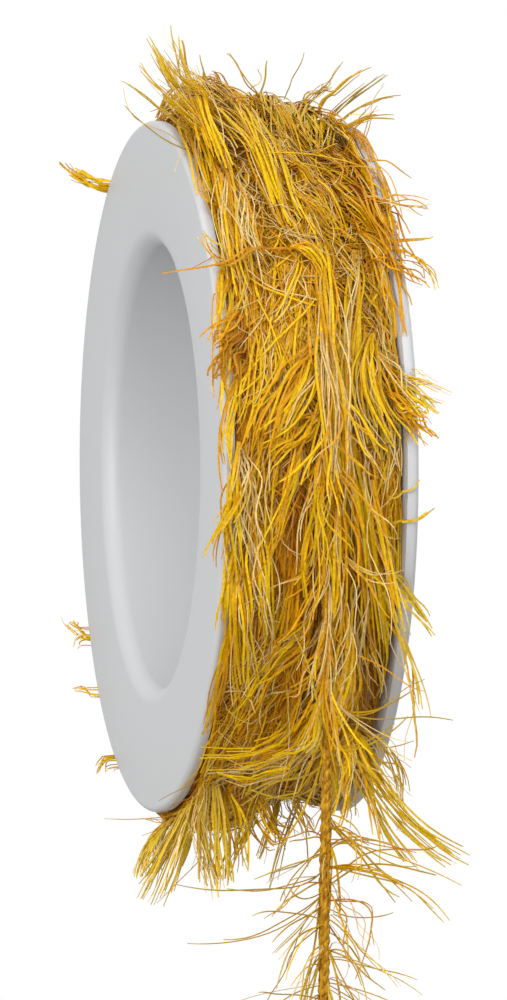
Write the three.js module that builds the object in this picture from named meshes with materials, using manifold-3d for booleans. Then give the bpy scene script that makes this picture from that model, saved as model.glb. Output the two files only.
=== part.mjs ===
// Eyelash fringe trim wound on a flanged plastic reel, with its loose end hanging down.
//
// Millimetres, +Z up. The reel's axis is Y and its middle is the origin. The trim comes
// forward over the top of the pile and hangs from its front, which is +X. Angles round
// the reel are in degrees, counted up from the front over the top, so 0 is the front,
// 90 the top, 180 the back and 270 the underside.
import * as THREE from 'three';
import { mergeVertices } from 'three/addons/utils/BufferGeometryUtils.js';
import Module from 'manifold-3d';

// ---------------------------------------------------------------- driving sizes

const CLEARANCE = 0.3;

const reel = {
  flangeRadius: 50,
  flangeThickness: 1.8,
  innerWidth: 25,
  boreRadius: 32,
  coreWall: 2,
  boreFillet: 2.5,
  rimFillet: 0.8,
  innerChamfer: 0.3,
  segments: 60,
};
const coreRadius = reel.boreRadius + reel.coreWall;
const halfInside = reel.innerWidth / 2;
const halfOutside = halfInside + reel.flangeThickness;

// The trim is laid in a helix. Its last layer covers only the side away from +Y, so the
// pile is one layer higher there, and the loose end leaves at the edge of that layer.
const pile = {
  lowRadius: 43.6,
  layerStep: 2.2,
  layerRamp: 0.8,
  stepAngle: 8,
  ridge: 0.5,
  lump: 0.6,
  shoulder: 1.4,
  endY: 1.2,
  pitch: 4.7,
  rows: 16,
  segments: 60,
};
const halfPile = halfInside - CLEARANCE;

// The woven heading of the trim, which the lashes grow from, in flats of 9 degrees.
const heading = { width: 2, thickness: 1.2, flatAngle: 9 };

// Stretches of heading on show, by winding angle from the loose end and number of
// flats. Beside the loose end the first flat has no locks, and none rises there.
const turns = [
  { name: 'outer_turn_1', layer: 1, from: 26, flats: 37, bareFlats: 1, risingFrom: 6, risingTo: 33 },
  { name: 'outer_turn_2', layer: 1, from: 359.6, flats: 40, bareFlats: 0, risingFrom: 0, risingTo: 36 },
  { name: 'outer_turn_3', layer: 1, from: 720.2, flats: 14, bareFlats: 0, risingFrom: 0, risingTo: 14 },
  { name: 'lower_turn_1', layer: 0, from: -354, flats: 38, bareFlats: 0, risingFrom: 0, risingTo: 30 },
  { name: 'lower_turn_2', layer: 0, from: -660.4, flats: 34, bareFlats: 0, risingFrom: 0, risingTo: 34 },
];

// Locks combed flat along the pile, one from each flat of the heading, to one side of
// it and then the other. Root is how far along its flat a lock starts, in degrees. Each
// ring of a lock has its rise as a share of the whole, its offset to the side and its
// stray to either side in millimetres, and its taper as a share of the full width.
const flatLock = { length: 20, lengthSpread: 5, halfWidth: 0.92, halfDepth: 0.52, root: 7 };
const flatRings = [
  { rise: -0.14, offset: 0.4, stray: 0.0, taper: 0.6 },
  { rise: 0.33, offset: 1.3, stray: 0.0, taper: 1.0 },
  { rise: 0.68, offset: 1.3, stray: 0.1, taper: 0.85 },
  { rise: 1.0, offset: 1.3, stray: 0.8, taper: 0.0 },
];
const flatRise = { lowerLayer: 2.9, lastLayer: 3.9, spread: 0.3 };

// Locks that spring out of the pile and bow under their own weight, one from every few
// flats. Slant is how far each leans along the pile, in degrees, and side how much it
// bends to +Y once it is past the clear radius. The shapes repeat down the trim.
const risingLock = {
  every: 3,
  root: 8.3,
  rootDepth: 0.5,
  halfWidth: 0.34,
  rings: 4,
  clearRadius: 52.7,
  droop: 0.05,
  edgeLean: 0.56,
};
const risingShapes = [
  { length: 17.5, slant: 34, side: -0.35 },
  { length: 13.0, slant: 12, side: 0.25 },
  { length: 18.0, slant: 48, side: 0.1 },
  { length: 15.0, slant: 22, side: -0.15 },
  { length: 11.5, slant: 56, side: 0.4 },
  { length: 18.0, slant: 6, side: -0.05 },
  { length: 16.0, slant: 40, side: 0.2 },
];

// The loose end: a twisted cord that lies on the pile at first and then hangs plumb.
const looseEnd = { diameter: 1.7, sides: 8, stepLength: 4.2 };
const looseEndRoute = [
  { x: 43.35, y: 0.89, z: 19.3 },
  { x: 45.13, y: 0.97, z: 14.66 },
  { x: 46.41, y: 1.04, z: 9.87 },
  { x: 47.19, y: 1.12, z: 4.96 },
  { x: 47.5, y: 1.2, z: 0 },
  { x: 47.7, y: 1.2, z: -6 },
  { x: 47.8, y: 1.25, z: -12 },
  { x: 47.8, y: 1.25, z: -18 },
  { x: 47.8, y: 1.2, z: -24 },
  { x: 47.9, y: 1.1, z: -30 },
  { x: 48.0, y: 1.1, z: -36 },
  { x: 48.0, y: 1.15, z: -42 },
  { x: 47.9, y: 1.1, z: -48 },
  { x: 47.8, y: 1.0, z: -54 },
  { x: 47.8, y: 0.85, z: -60 },
  { x: 47.9, y: 0.8, z: -66 },
  { x: 48.0, y: 0.75, z: -72 },
  { x: 48.0, y: 0.65, z: -78 },
  { x: 47.9, y: 0.6, z: -86 },
];

// The lashes of the loose end grow from a binding thread along its front.
const binding = { width: 1.2, depth: 0.8, top: -15, bottom: -85, steps: 12 };
const hangingLock = { halfWidth: 0.32, rings: 4, count: 46, fan: 38, lift: 0.35, droop: 0.07 };
const hangingLengths = [23, 17, 25, 20, 14, 24, 18];

// ---------------------------------------------------------------- small helpers

const wasm = await Module();
wasm.setup();

const radians = THREE.MathUtils.degToRad;
const smooth = THREE.MathUtils.smoothstep;

// A repeatable number from 0 to 1 for each whole number.
function scatter(seed) {
  const wave = Math.sin(seed * 12.9898 + 4.1) * 43758.5453;
  return wave - Math.floor(wave);
}

// The point at a winding angle, a radius and a place along the axis.
function onReel(angle, radius, y) {
  return new THREE.Vector3(radius * Math.cos(radians(angle)), y, radius * Math.sin(radians(angle)));
}

// Straight out from the reel's axis, and along the pile the way the lashes are combed.
const outward = (angle) => onReel(angle, 1, 0);
const combed = (angle) => onReel(angle - 90, 1, 0);

// Only positions are kept, and shared corners become one.
function weld(geometry) {
  geometry.deleteAttribute('normal');
  geometry.deleteAttribute('uv');
  return mergeVertices(geometry, 1e-4);
}

function toSolid(geometry) {
  const welded = weld(geometry);
  const mesh = new wasm.Mesh({
    numProp: 3,
    vertProperties: new Float32Array(welded.attributes.position.array),
    triVerts: new Uint32Array(welded.index.array),
  });
  return new wasm.Manifold(mesh);
}

function fromSolid(solid) {
  const { vertProperties, triVerts } = solid.getMesh();
  const geometry = new THREE.BufferGeometry();
  geometry.setAttribute('position', new THREE.BufferAttribute(vertProperties, 3));
  geometry.setIndex(new THREE.BufferAttribute(triVerts, 1));
  geometry.computeVertexNormals();
  return geometry;
}

// Bends a straight bar that stands along Y, from -0.5 to 0.5, onto a row of points.
// Each point has its own upward direction and its own scale across the bar.
function bendBar(bar, points, ups, widths, depths) {
  const position = bar.attributes.position;
  const rings = points.length - 1;
  for (let i = 0; i < position.count; i++) {
    const ring = Math.round((position.getY(i) + 0.5) * rings);
    const after = points[Math.min(ring + 1, rings)];
    const before = points[Math.max(ring - 1, 0)];
    const along = after.clone().sub(before).normalize();
    const across = along.clone().cross(ups[ring]).normalize();
    const up = across.clone().cross(along);
    const place = points[ring].clone();
    place.addScaledVector(across, position.getX(i) * widths[ring]);
    place.addScaledVector(up, position.getZ(i) * depths[ring]);
    position.setXYZ(i, place.x, place.y, place.z);
  }
  return bar;
}

// A three-sided lock that narrows to a point at the last of its points.
function lock(points, ups, halfWidth, halfDepth, tapers) {
  const rings = points.length - 1;
  const cone = new THREE.ConeGeometry(1, 1, 3, rings);
  const scales = tapers.map((taper, ring) => taper / Math.max(1 - ring / rings, 1e-6));
  const widths = scales.map((scale) => scale * halfWidth);
  const depths = scales.map((scale) => scale * halfDepth);
  return toSolid(bendBar(cone, points, ups, widths, depths));
}

// A four-sided band along a row of points, as wide and as thick as given.
function squareBar(points, ups, width, thickness) {
  const bar = new THREE.CylinderGeometry(1, 1, 1, 4, points.length - 1);
  bar.rotateY(Math.PI / 4);
  const widths = points.map(() => width * Math.SQRT1_2);
  const depths = points.map(() => thickness * Math.SQRT1_2);
  return toSolid(bendBar(bar, points, ups, widths, depths));
}

// ---------------------------------------------------------------- the reel

// A quarter turn of a fillet in the reel's section, from one angle to the next.
function fillet(centreR, centreY, radius, fromAngle, steps) {
  const points = [];
  for (let i = 0; i <= steps; i++) {
    const angle = radians(fromAngle + (90 * i) / steps);
    const r = centreR + radius * Math.cos(angle);
    const y = centreY + radius * Math.sin(angle);
    points.push(new THREE.Vector2(r, y));
  }
  return points;
}

// One moulding: two flanges and the open core between them, filleted into the bore.
function reelGeometry() {
  const { flangeRadius, boreRadius, boreFillet, rimFillet, innerChamfer } = reel;
  const boreR = boreRadius + boreFillet;
  const rimR = flangeRadius - rimFillet;
  const lip = halfInside + innerChamfer;
  const profile = [
    ...fillet(boreR, boreFillet - halfOutside, boreFillet, 180, 3),
    ...fillet(rimR, rimFillet - halfOutside, rimFillet, 270, 2),
    new THREE.Vector2(flangeRadius, -lip),
    new THREE.Vector2(flangeRadius - innerChamfer, -halfInside),
    new THREE.Vector2(coreRadius, -halfInside),
    new THREE.Vector2(coreRadius, halfInside),
    new THREE.Vector2(flangeRadius - innerChamfer, halfInside),
    new THREE.Vector2(flangeRadius, lip),
    ...fillet(rimR, halfOutside - rimFillet, rimFillet, 0, 2),
    ...fillet(boreR, halfOutside - boreFillet, boreFillet, 90, 3),
  ];
  profile.push(profile[0].clone());
  return weld(new THREE.LatheGeometry(profile, reel.segments));
}

// ---------------------------------------------------------------- the wound pile

// Where the middle of the heading lies, at a winding angle from the loose end.
const headingY = (winding) => pile.endY - (pile.pitch * winding) / 360;

// The edge of the last layer steps back across one pitch where the loose end leaves.
function layerEdge(angle) {
  const stepBack = pile.pitch * smooth(angle, 360 - pile.stepAngle, 360);
  return headingY(angle) + pile.pitch / 2 + stepBack;
}

// The pile's own radius: the two layers, a ridge under each turn of the heading,
// uneven hollows between the ridges, and shoulders rounded down at the flanges.
function pileRadius(angle, y) {
  const layer = smooth(layerEdge(angle) - y, -pile.layerRamp, pile.layerRamp);
  const ridge = 0.5 + 0.5 * Math.cos((2 * Math.PI * (y - headingY(angle))) / pile.pitch);
  const turn = radians(angle);
  const wave = Math.sin(5 * turn + 0.9 * y) + Math.sin(11 * turn - 0.6 * y);
  const hollow = 0.5 * pile.lump * (1 - ridge) * (wave - 1);
  const edge = smooth(Math.abs(y), halfPile - pile.shoulder, halfPile);
  return pile.lowRadius + pile.layerStep * layer + pile.ridge * ridge + hollow - edge;
}

// One lumpy ring for all the turns that lie under the outermost ones.
function pileGeometry() {
  const innerRadius = coreRadius + CLEARANCE;
  const profile = [new THREE.Vector2(innerRadius, -halfPile)];
  for (let row = 0; row <= pile.rows; row++) {
    const y = halfPile * ((2 * row) / pile.rows - 1);
    profile.push(new THREE.Vector2(pile.lowRadius, y));
  }
  profile.push(new THREE.Vector2(innerRadius, halfPile));
  profile.push(profile[0].clone());
  const ring = weld(new THREE.LatheGeometry(profile, pile.segments));
  const position = ring.attributes.position;
  for (let i = 0; i < position.count; i++) {
    const x = position.getX(i);
    const y = position.getY(i);
    const z = position.getZ(i);
    const isOuter = Math.hypot(x, z) > innerRadius + 1;
    if (isOuter) {
      const angle = (THREE.MathUtils.radToDeg(Math.atan2(z, x)) + 360) % 360;
      const place = onReel(angle, pileRadius(angle, y), y);
      position.setXYZ(i, place.x, place.y, place.z);
    }
  }
  return ring;
}

// ---------------------------------------------------------------- the outer turns

const headingTop = (layer) => {
  const seat = pile.lowRadius + pile.layerStep * layer + pile.ridge + CLEARANCE;
  return seat + heading.thickness;
};

// A narrow band laid round the pile along the helix, its flats just clear of the ridge.
function headingSolid(turn) {
  const middle = headingTop(turn.layer) - heading.thickness / 2;
  const radius = middle / Math.cos(radians(heading.flatAngle / 2));
  const points = [];
  const ups = [];
  for (let flat = turn.flats; flat >= 0; flat--) {
    const winding = turn.from + flat * heading.flatAngle;
    points.push(onReel(winding, radius, headingY(winding)));
    ups.push(outward(winding));
  }
  return squareBar(points, ups, heading.width, heading.thickness);
}

// A lock combed flat: it rises off the heading and runs along the pile over the next.
function flatLockSolid(turn, winding, index) {
  const side = index % 2 === 0 ? 1 : -1;
  const length = flatLock.length + flatLock.lengthSpread * (scatter(index) - 0.5);
  const fullRise = turn.layer === 1 ? flatRise.lastLayer : flatRise.lowerLayer;
  const rise = fullRise + flatRise.spread * (scatter(index + 300) - 0.5);
  const stray = 2 * scatter(index + 600) - 1;
  const top = headingTop(turn.layer);
  const sweep = THREE.MathUtils.radToDeg(length / top);
  const points = flatRings.map((ring, i) => {
    const angle = winding - (sweep * i) / (flatRings.length - 1);
    const y = headingY(angle) + side * ring.offset + stray * ring.stray;
    return onReel(angle, top + rise * ring.rise, y);
  });
  const ups = points.map((point) => new THREE.Vector3(point.x, 0, point.z).normalize());
  const tapers = flatRings.map((ring) => ring.taper);
  return lock(points, ups, flatLock.halfWidth, flatLock.halfDepth, tapers);
}

// A lock's path from its root: it leaves along its direction and bends down by its
// weight, and it goes to the side only once it is clear of what lies round its root.
function springPath(root, direction, sideways, length, clearLength, rings, droop) {
  const points = [root.clone()];
  const going = direction.clone().normalize();
  const place = root.clone();
  for (let i = 1; i <= rings; i++) {
    const step = i === 1 ? clearLength : (length - clearLength) / (rings - 1);
    place.addScaledVector(going, step);
    points.push(place.clone());
    going.add(new THREE.Vector3(0, sideways, -droop * step)).normalize();
  }
  return points;
}

// A lock that springs out of the pile. Beside a flange it leans out over the rim.
function risingLockSolid(turn, winding, index) {
  const shape = risingShapes[index % risingShapes.length];
  const top = headingTop(turn.layer);
  const root = onReel(winding, top - risingLock.rootDepth, headingY(winding));
  const slant = radians(shape.slant);
  const direction = outward(winding).multiplyScalar(Math.cos(slant));
  direction.addScaledVector(combed(winding), Math.sin(slant));
  const clearLength = (risingLock.clearRadius - root.clone().setY(0).length()) / Math.cos(slant);
  const lean = (risingLock.edgeLean * headingY(winding)) / halfPile;
  const length = shape.length + clearLength / 2;
  const side = (shape.side + lean) / 2;
  const { rings, droop, halfWidth } = risingLock;
  const points = springPath(root, direction, side, length, clearLength, rings, droop);
  const ups = points.map(() => outward(winding - 60));
  const tapers = points.map((_, i) => (i === rings ? 0 : 1 - 0.12 * i));
  return lock(points, ups, halfWidth, halfWidth, tapers);
}

function turnGeometry(turn, turnIndex) {
  const solids = [headingSolid(turn)];
  for (let flat = turn.bareFlats; flat < turn.flats; flat++) {
    const winding = turn.from + flat * heading.flatAngle;
    const index = 50 * turnIndex + flat;
    solids.push(flatLockSolid(turn, winding + flatLock.root, index));
    const rises = flat >= turn.risingFrom && flat < turn.risingTo;
    if (rises && (flat + turnIndex) % risingLock.every === 0) {
      solids.push(risingLockSolid(turn, winding + risingLock.root, index));
    }
  }
  return fromSolid(wasm.Manifold.union(solids));
}

// ---------------------------------------------------------------- the loose end

const routePoints = looseEndRoute.map(({ x, y, z }) => new THREE.Vector3(x, y, z));
const routeCurve = new THREE.CatmullRomCurve3(routePoints, false, 'centripetal');

function looseCordGeometry() {
  const corners = [];
  for (let i = 0; i < looseEnd.sides; i++) {
    const angle = radians((360 * i) / looseEnd.sides);
    const radius = looseEnd.diameter / 2;
    corners.push(new THREE.Vector2(radius * Math.cos(angle), radius * Math.sin(angle)));
  }
  const options = {
    steps: Math.round(routeCurve.getLength() / looseEnd.stepLength),
    bevelEnabled: false,
    extrudePath: routeCurve,
  };
  return weld(new THREE.ExtrudeGeometry(new THREE.Shape(corners), options));
}

// The place of the hanging cord's middle at a height, read off its route.
function cordAt(z) {
  const below = routePoints.findIndex((point) => point.z <= z);
  const a = routePoints[below - 1];
  const b = routePoints[below];
  return a.clone().lerp(b, (a.z - z) / (a.z - b.z));
}

// The binding thread stands in front of the cord, as near as touching pieces lie.
function bindingAt(z) {
  const place = cordAt(z);
  place.x += looseEnd.diameter / 2 + CLEARANCE + binding.depth / 2;
  return place;
}

function bindingSolid() {
  const points = [];
  for (let i = 0; i <= binding.steps; i++) {
    const share = i / binding.steps;
    points.push(bindingAt(binding.top + (binding.bottom - binding.top) * share));
  }
  const ups = points.map(() => new THREE.Vector3(1, 0, 0));
  return squareBar(points, ups, binding.width, binding.depth);
}

// A lash of the loose end goes out to one side, a little forward or back, and droops.
function hangingLockSolid(index) {
  const { count, rings, fan, lift, droop, halfWidth } = hangingLock;
  const share = (index + 0.5) / count;
  const root = bindingAt(binding.top + (binding.bottom - binding.top) * share);
  const side = index % 2 === 0 ? 1 : -1;
  const turn = radians(fan * Math.sin(index * 2.4));
  const direction = new THREE.Vector3(Math.abs(Math.sin(turn)), side * Math.cos(turn), lift);
  const length = hangingLengths[index % hangingLengths.length];
  const points = springPath(root, direction, 0, length, length / rings, rings, droop);
  const ups = points.map(() => new THREE.Vector3(1, 0, 0.2).normalize());
  const tapers = points.map((_, i) => (i === rings ? 0 : 1 - 0.12 * i));
  return lock(points, ups, halfWidth, halfWidth, tapers);
}

function hangingLashGeometry() {
  const solids = [bindingSolid()];
  for (let index = 0; index < hangingLock.count; index++) {
    solids.push(hangingLockSolid(index));
  }
  return fromSolid(wasm.Manifold.union(solids));
}

// ---------------------------------------------------------------- the whole part

const plastic = new THREE.MeshStandardMaterial({ color: 0xd6d6d4, roughness: 0.45, metalness: 0 });
const gold = new THREE.MeshStandardMaterial({ color: 0xb98a1c, roughness: 0.6, metalness: 0 });
const lemon = new THREE.MeshStandardMaterial({ color: 0xd9b62a, roughness: 0.5, metalness: 0 });
const brown = new THREE.MeshStandardMaterial({ color: 0x9a6a1e, roughness: 0.7, metalness: 0 });

const group = new THREE.Group();

function addPiece(name, geometry, material) {
  const mesh = new THREE.Mesh(geometry, material.clone());
  mesh.name = name;
  group.add(mesh);
}

addPiece('reel', reelGeometry(), plastic);
addPiece('wound_trim', pileGeometry(), gold);
turns.forEach((turn, index) => addPiece(turn.name, turnGeometry(turn, index), lemon));
addPiece('loose_end_cord', looseCordGeometry(), brown);
addPiece('loose_end_lashes', hangingLashGeometry(), lemon);

export default group;
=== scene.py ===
import math
import random

import bmesh
import bpy
import numpy as np
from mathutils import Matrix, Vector


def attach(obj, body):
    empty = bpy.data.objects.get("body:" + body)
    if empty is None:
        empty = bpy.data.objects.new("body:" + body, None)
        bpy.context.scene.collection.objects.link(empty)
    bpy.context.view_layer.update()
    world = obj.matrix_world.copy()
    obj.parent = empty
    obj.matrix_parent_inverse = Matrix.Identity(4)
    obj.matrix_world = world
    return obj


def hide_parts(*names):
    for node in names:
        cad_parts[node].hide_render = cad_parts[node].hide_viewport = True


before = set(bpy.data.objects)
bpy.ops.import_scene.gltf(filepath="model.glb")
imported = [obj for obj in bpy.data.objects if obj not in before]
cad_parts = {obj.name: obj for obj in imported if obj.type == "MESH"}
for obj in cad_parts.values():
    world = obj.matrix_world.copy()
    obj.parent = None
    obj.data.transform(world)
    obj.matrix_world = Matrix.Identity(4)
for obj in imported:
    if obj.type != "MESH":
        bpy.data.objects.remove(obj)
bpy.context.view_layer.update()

MM = 0.001
rng = np.random.default_rng(20)


# ---------------------------------------------------------------- camera
# It looks at the rim from the front, a little to the near flange's side and from just
# above, through a long lens. Its frame is taller than it is wide.

CAMERA_AZIMUTH = math.radians(77.6)
CAMERA_ELEVATION = math.radians(1.3)
CAMERA_DISTANCE = 3.0
TARGET_ASIDE = 0.0010
TARGET_ABOVE = -0.0049

backward = np.array(
    [
        math.sin(CAMERA_AZIMUTH) * math.cos(CAMERA_ELEVATION),
        -math.cos(CAMERA_AZIMUTH) * math.cos(CAMERA_ELEVATION),
        math.sin(CAMERA_ELEVATION),
    ]
)
rightward = np.array([math.cos(CAMERA_AZIMUTH), math.sin(CAMERA_AZIMUTH), 0])
upward = np.cross(backward, rightward)
target = rightward * TARGET_ASIDE + upward * TARGET_ABOVE
camera_data = bpy.data.cameras.new("Camera")
camera_data.lens = 746.2
camera_data.sensor_width = 36
camera = bpy.data.objects.new("Camera", camera_data)
camera.location = target + backward * CAMERA_DISTANCE
camera.rotation_euler = Vector(backward).to_track_quat("Z", "Y").to_euler()
bpy.context.scene.collection.objects.link(camera)
bpy.context.scene.camera = camera


# ---------------------------------------------------------------- the loose end's cord
# The core of the trim: three plies of brown-gold rayon twisted together. It leaves the
# edge of the last layer, lies on the pile's front and hangs plumb, bare at its cut end.

CORD_DIAMETER = 1.7
CORD_TWIST = 4.6
CORD_SIDES = 24
CORD_STEP = 0.3
PLY_DEPTH = 0.26
CORD_ROUTE = [
    (43.35, 0.89, 19.30),
    (45.13, 0.97, 14.66),
    (46.41, 1.04, 9.87),
    (47.19, 1.12, 4.96),
    (47.50, 1.20, 0.0),
    (47.70, 1.20, -6.0),
    (47.80, 1.25, -12.0),
    (47.80, 1.25, -18.0),
    (47.80, 1.20, -24.0),
    (47.90, 1.10, -30.0),
    (48.00, 1.10, -36.0),
    (48.00, 1.15, -42.0),
    (47.90, 1.10, -48.0),
    (47.80, 1.00, -54.0),
    (47.80, 0.85, -60.0),
    (47.90, 0.80, -66.0),
    (48.00, 0.75, -72.0),
    (48.00, 0.65, -78.0),
    (47.90, 0.60, -86.0),
]


def srgb(colour):
    """A colour written as six hex digits, as linear values."""
    parts = [int(colour[i : i + 2], 16) / 255 for i in (0, 2, 4)]
    return [p / 12.92 if p <= 0.04045 else ((p + 0.055) / 1.055) ** 2.4 for p in parts]


def unit(vectors):
    """The same directions, each one long."""
    return vectors / np.maximum(np.linalg.norm(vectors, axis=-1, keepdims=True), 1e-9)


def smooth_line(points, spacing):
    """A curve through the points, cut into equal steps of about that spacing."""
    p = np.array(points, float)
    p = np.vstack([2 * p[0] - p[1], p, 2 * p[-1] - p[-2]])
    fine = []
    for a, b, c, d in zip(p, p[1:], p[2:], p[3:]):
        for t in np.linspace(0, 1, 24, endpoint=False):
            cubic = (d - 3 * c + 3 * b - a) * t**3 + (2 * a - 5 * b + 4 * c - d) * t**2
            fine.append(0.5 * (cubic + (c - a) * t + 2 * b))
    fine = np.array(fine + [p[-2]])
    reach = np.append(0, np.cumsum(np.linalg.norm(np.diff(fine, axis=0), axis=1)))
    steps = np.linspace(0, reach[-1], round(reach[-1] / spacing) + 1)
    return np.stack([np.interp(steps, reach, fine[:, i]) for i in range(3)], 1), steps


def add_mesh(name, points, faces):
    """A new object from points in millimetres and rows of corners of equal count."""
    mesh = bpy.data.meshes.new(name)
    faces = [np.asarray(f, np.int32) for f in faces]
    sizes = np.concatenate([np.full(len(f), f.shape[1], np.int32) for f in faces])
    corners = np.concatenate([f.ravel() for f in faces])
    mesh.vertices.add(len(points))
    mesh.vertices.foreach_set("co", (np.asarray(points) * MM).astype(np.float32).ravel())
    mesh.loops.add(len(corners))
    mesh.loops.foreach_set("vertex_index", corners)
    mesh.polygons.add(len(sizes))
    mesh.polygons.foreach_set("loop_start", np.append(0, np.cumsum(sizes)[:-1]).astype(np.int32))
    mesh.update(calc_edges=True)
    mesh.shade_smooth()
    piece = bpy.data.objects.new(name, mesh)
    bpy.context.scene.collection.objects.link(piece)
    return piece


def tube_faces(count, rings, sides):
    """Quads along each of many tubes, and a cap at each of their ends."""
    base = (np.arange(count) * rings * sides)[:, None, None]
    ring = np.arange(rings - 1)[None, :, None] * sides
    side = np.arange(sides)[None, None, :]
    after = (side + 1) % sides
    quads = np.stack(
        [base + ring + side, base + ring + after, base + ring + sides + after, base + ring + sides + side],
        -1,
    ).reshape(-1, 4)
    start = (base[:, 0] + np.arange(sides)[::-1][None]).reshape(count, sides)
    end = (base[:, 0] + (rings - 1) * sides + np.arange(sides)[None]).reshape(count, sides)
    return [quads, start, end]


def frames_along(path, facing=(0.31, 0.52, 0.79)):
    """Two directions across each of many paths, carried along without twist: the second
    faces that way at the start."""
    along = unit(np.gradient(path, axis=-2))
    first = unit(np.cross(facing, along[..., 0, :]))
    across = np.empty_like(path)
    across[..., 0, :] = first
    for k in range(1, path.shape[-2]):
        a = along[..., k, :]
        carried = across[..., k - 1, :]
        across[..., k, :] = unit(carried - a * (carried * a).sum(-1, keepdims=True))
    return across, np.cross(along, across)


def nodes_of(material, kind, place, **inputs):
    """Adds one node and sets the named inputs."""
    node = material.node_tree.nodes.new(kind)
    node.location = place
    for key, value in inputs.items():
        node.inputs[key.replace("_", " ")].default_value = value
    return node


def new_material(name, roughness, ior, **inputs):
    """A material with its Principled shader."""
    material = bpy.data.materials.new(name)
    material.use_nodes = True
    shader = material.node_tree.nodes["Principled BSDF"]
    shader.inputs["Roughness"].default_value = roughness
    shader.inputs["IOR"].default_value = ior
    for key, value in inputs.items():
        shader.inputs[key.replace("_", " ")].default_value = value
    return material, shader


# Three plies make three lobes, and the core swells and thins a little along its length.
centres, reach = smooth_line(CORD_ROUTE, CORD_STEP)
across, over = frames_along(centres)
ply_angle = np.linspace(0, 2 * np.pi, CORD_SIDES, endpoint=False)[None, :]
twist = 2 * np.pi * reach[:, None] / CORD_TWIST
ply_height = np.abs(np.cos(1.5 * ply_angle)) ** 0.6
cord_radius = CORD_DIAMETER / 2 * (1 - PLY_DEPTH + PLY_DEPTH * ply_height)
swell = 0.05 * np.sin(reach[:, None] * 1.7) + 0.04 * np.sin(reach[:, None] * 4.3)
cord_radius = cord_radius * (1 + swell)
spin = ply_angle + twist
cord_points = (
    centres[:, None]
    + across[:, None] * (cord_radius * np.cos(spin))[..., None]
    + over[:, None] * (cord_radius * np.sin(spin))[..., None]
)
cord = add_mesh("loose_cord", cord_points.reshape(-1, 3), tube_faces(1, len(centres), CORD_SIDES))

# Twisted rayon: satin, streaked by its filaments.
cord_rayon, shader = new_material(
    "twisted_rayon_cord", 0.6, 1.52, Specular_IOR_Level=0.25, Specular_Tint=(1.0, 0.86, 0.5, 1.0)
)
tree = cord_rayon.node_tree
coords = nodes_of(cord_rayon, "ShaderNodeTexCoord", (-1100, 0))
stretch = nodes_of(cord_rayon, "ShaderNodeMapping", (-900, 0), Scale=(2600.0, 2600.0, 700.0))
noise = nodes_of(cord_rayon, "ShaderNodeTexNoise", (-600, 0), Scale=1.0, Detail=2.0)
ramp = nodes_of(cord_rayon, "ShaderNodeValToRGB", (-300, 0))
ramp.color_ramp.elements[0].position = 0.32
ramp.color_ramp.elements[0].color = (*srgb("7C4A00"), 1)
ramp.color_ramp.elements[1].position = 0.68
ramp.color_ramp.elements[1].color = (*srgb("CC9A22"), 1)
tree.links.new(coords.outputs["Object"], stretch.inputs["Vector"])
tree.links.new(stretch.outputs["Vector"], noise.inputs["Vector"])
tree.links.new(noise.outputs["Fac"], ramp.inputs["Fac"])
tree.links.new(ramp.outputs["Color"], shader.inputs["Base Color"])
cord.data.materials.append(cord_rayon)
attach(cord, "root")
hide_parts("loose_end_cord")


# ---------------------------------------------------------------- the wound pile
# All the turns under the outermost ones: the same trim packed into a lumpy ring, laid in
# a helix between the flanges. Its last layer covers only the side away from +Y, so it is
# one layer lower at the far flange. Only dark streaks of it show between the lashes.

FLANGE_RADIUS = 50
HALF_INSIDE = 12.5
HALF_OUTSIDE = 14.3
PILE_INNER = 34.3
PILE_HALF = 12.2
PILE_LOW = 45.8
PILE_STEP = 3.2
PILE_PITCH = 4.7
PILE_END_Y = 1.2
ROOT_HALF = 12


def smoothstep(values, low, high):
    """From 0 to 1 between two values, level at both."""
    t = np.clip((values - low) / (high - low), 0, 1)
    return t * t * (3 - 2 * t)


def heading_y(winding):
    """Where the trim's core lies along the axis, by winding angle from the loose end."""
    return PILE_END_Y - PILE_PITCH * winding / 360


def pile_radius(angle, y):
    """The pile's own radius, from its layers, the ridge of each turn and its lumps."""
    edge = heading_y(angle) + PILE_PITCH / 2 + PILE_PITCH * smoothstep(angle, 352, 360)
    layer = smoothstep(edge - y, -0.8, 0.8)
    ridge = 0.5 + 0.5 * np.cos(2 * np.pi * (y - heading_y(angle)) / PILE_PITCH)
    turn = np.radians(angle)
    wave = np.sin(5 * turn + 0.9 * y) + np.sin(11 * turn - 0.6 * y) + 0.6 * np.sin(23 * turn + 1.9 * y)
    shoulder = smoothstep(np.abs(y), PILE_HALF - 1.4, PILE_HALF)
    dip = smoothstep(-np.cos(turn), 0.05, 0.45) * smoothstep(-y, 2, 10)
    return PILE_LOW + PILE_STEP * layer + 0.6 * ridge + 0.35 * wave - 1.2 * shoulder - 1.6 * dip


PILE_STEPS, PILE_ROWS = 400, 36
rows = np.linspace(-PILE_HALF, PILE_HALF, PILE_ROWS)
profile = [(PILE_INNER, -PILE_HALF), *[(PILE_LOW, y) for y in rows], (PILE_INNER, PILE_HALF)]


def spun(name, section, steps):
    """A closed section of radii and places along Y, spun into a full ring."""
    work = bmesh.new()
    corners = [work.verts.new((r * MM, y * MM, 0)) for r, y in section]
    edges = [work.edges.new(pair) for pair in zip(corners, corners[1:] + corners[:1])]
    bmesh.ops.spin(
        work,
        geom=corners + edges,
        cent=(0, 0, 0),
        axis=(0, 1, 0),
        angle=2 * math.pi,
        steps=steps,
        use_merge=True,
    )
    bmesh.ops.recalc_face_normals(work, faces=work.faces)
    mesh = bpy.data.meshes.new(name)
    work.to_mesh(mesh)
    work.free()
    mesh.shade_smooth()
    piece = bpy.data.objects.new(name, mesh)
    bpy.context.scene.collection.objects.link(piece)
    return piece


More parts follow.
